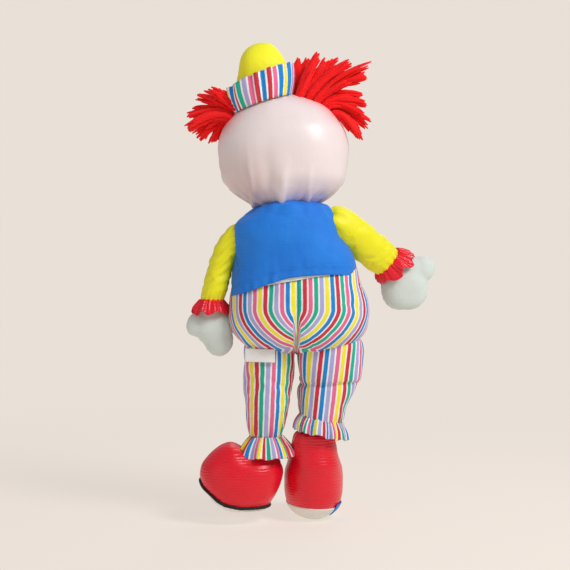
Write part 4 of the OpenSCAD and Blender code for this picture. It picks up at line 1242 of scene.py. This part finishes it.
# %% Lining, elastic and tube
def own_place(material):
    for n in material.node_tree.nodes:
        if n.type == "ATTRIBUTE" and n.attribute_name == "cloth_place":
            swap = material.node_tree.nodes.new("ShaderNodeTexCoord")
            for link in list(n.outputs["Vector"].links):
                material.node_tree.links.new(swap.outputs["Object"], link.to_socket)
    return material

lining_blue = own_place(cloth_finish("lining_blue", srgb(70, 150, 226), srgb(46, 122, 204), rough=0.7))
elastic_white = own_place(cloth_finish("elastic_white", srgb(236, 236, 232), srgb(214, 214, 210),
                                       rough=0.8, lines=900))
tube_card = own_place(cloth_finish("tube_card", srgb(222, 214, 200), srgb(204, 194, 178), rough=0.85))
for name, material in (("pocket_lining", lining_blue), ("hem_elastic", elastic_white),
                       ("finger_tube", tube_card)):
    carried = frame["nodes"][name]
    carried.data.materials.clear()
    carried.data.materials.append(material)
    print(name, "finished")

# %% [markdown]
# ## Light, floor and camera
# A flat pale floor of paper, a big soft light up to one side and a weak one opposite show the folds without hard
# shadows. The camera looks straight at the puppet's back.

# %% The studio
BACKDROP = srgb(233, 224, 215)
floor_z = min(ankle[side][2] - SHOE_HEIGHT[side] for side in ("left", "right"))
bpy.ops.mesh.primitive_plane_add(size=120, location=(0, 0, (floor_z - 0.4) / 1000))
floor = bpy.context.object
floor.name = "floor"
paper = bpy.data.materials.new("paper")
paper.use_nodes = True
t = paper.node_tree
shader = t.nodes["Principled BSDF"]
shader.inputs["Roughness"].default_value, shader.inputs["Specular IOR Level"].default_value = 0.95, 0.0
place = node(t, "ShaderNodeTexCoord")
reach = node(t, "ShaderNodeVectorMath", operation="LENGTH")
t.links.new(place.outputs["Object"], reach.inputs[0])
far = node(t, "ShaderNodeMapRange", interpolation_type="SMOOTHSTEP")
far.inputs["From Min"].default_value, far.inputs["From Max"].default_value = 0.15, 1.6
t.links.new(reach.outputs["Value"], far.inputs["Value"])
near_far = node(t, "ShaderNodeMix", data_type="RGBA")
near_far.inputs["A"].default_value, near_far.inputs["B"].default_value = srgb(150, 143, 136), (0, 0, 0, 1)
glow = node(t, "ShaderNodeMapRange")
glow.inputs["To Min"].default_value, glow.inputs["To Max"].default_value = 0.74, 1.0
t.links.new(far.outputs["Result"], near_far.inputs["Factor"])
t.links.new(far.outputs["Result"], glow.inputs["Value"])
t.links.new(near_far.outputs["Result"], shader.inputs["Base Color"])
t.links.new(glow.outputs["Result"], shader.inputs["Emission Strength"])
shader.inputs["Emission Color"].default_value = BACKDROP
floor.data.materials.append(paper)

world = bpy.data.worlds.new("room")
bpy.context.scene.world = world
world.use_nodes = True
t = world.node_tree
seen = t.nodes["Background"]
seen.inputs["Color"].default_value, seen.inputs["Strength"].default_value = BACKDROP, 1.0
soft = node(t, "ShaderNodeBackground")
soft.inputs["Color"].default_value, soft.inputs["Strength"].default_value = srgb(238, 236, 240), 0.42
ray = node(t, "ShaderNodeLightPath")
pick = node(t, "ShaderNodeMixShader")
t.links.new(ray.outputs["Is Camera Ray"], pick.inputs["Fac"])
t.links.new(soft.outputs["Background"], pick.inputs[1])
t.links.new(seen.outputs["Background"], pick.inputs[2])
t.links.new(pick.outputs["Shader"], t.nodes["World Output"].inputs["Surface"])

def lamp(name, place, target, power, size):
    light = bpy.data.lights.new(name, "AREA")
    light.energy, light.size = power, size
    holder = bpy.data.objects.new(name, light)
    bpy.context.scene.collection.objects.link(holder)
    holder.location = place
    holder.rotation_mode = "QUATERNION"
    holder.rotation_quaternion = (Vector(target) - Vector(place)).to_track_quat("-Z", "Y")

lamp("key", (-1.0, 0.9, 1.1), (0, 0, 0), 19.5, 0.6)
lamp("fill", (1.1, 1.0, 0.3), (0, 0, 0), 1.2, 1.0)
lamp("rim", (-0.4, -1.2, 1.0), (0, 0, 0), 4, 1.0)

camera = bpy.data.objects.new("camera", bpy.data.cameras.new("camera"))
bpy.context.scene.collection.objects.link(camera)
camera.data.lens, camera.data.sensor_width = 70, 36
aim = to_metres(np.array([8.2, 0, -2.3]))
camera.location = Vector(aim) + Vector((0, 1.297, 0))
camera.rotation_mode = "QUATERNION"
camera.rotation_quaternion = Vector((0, -1, 0)).to_track_quat("-Z", "Y")
bpy.context.scene.camera = camera
bpy.context.scene.view_settings.view_transform = "Standard"
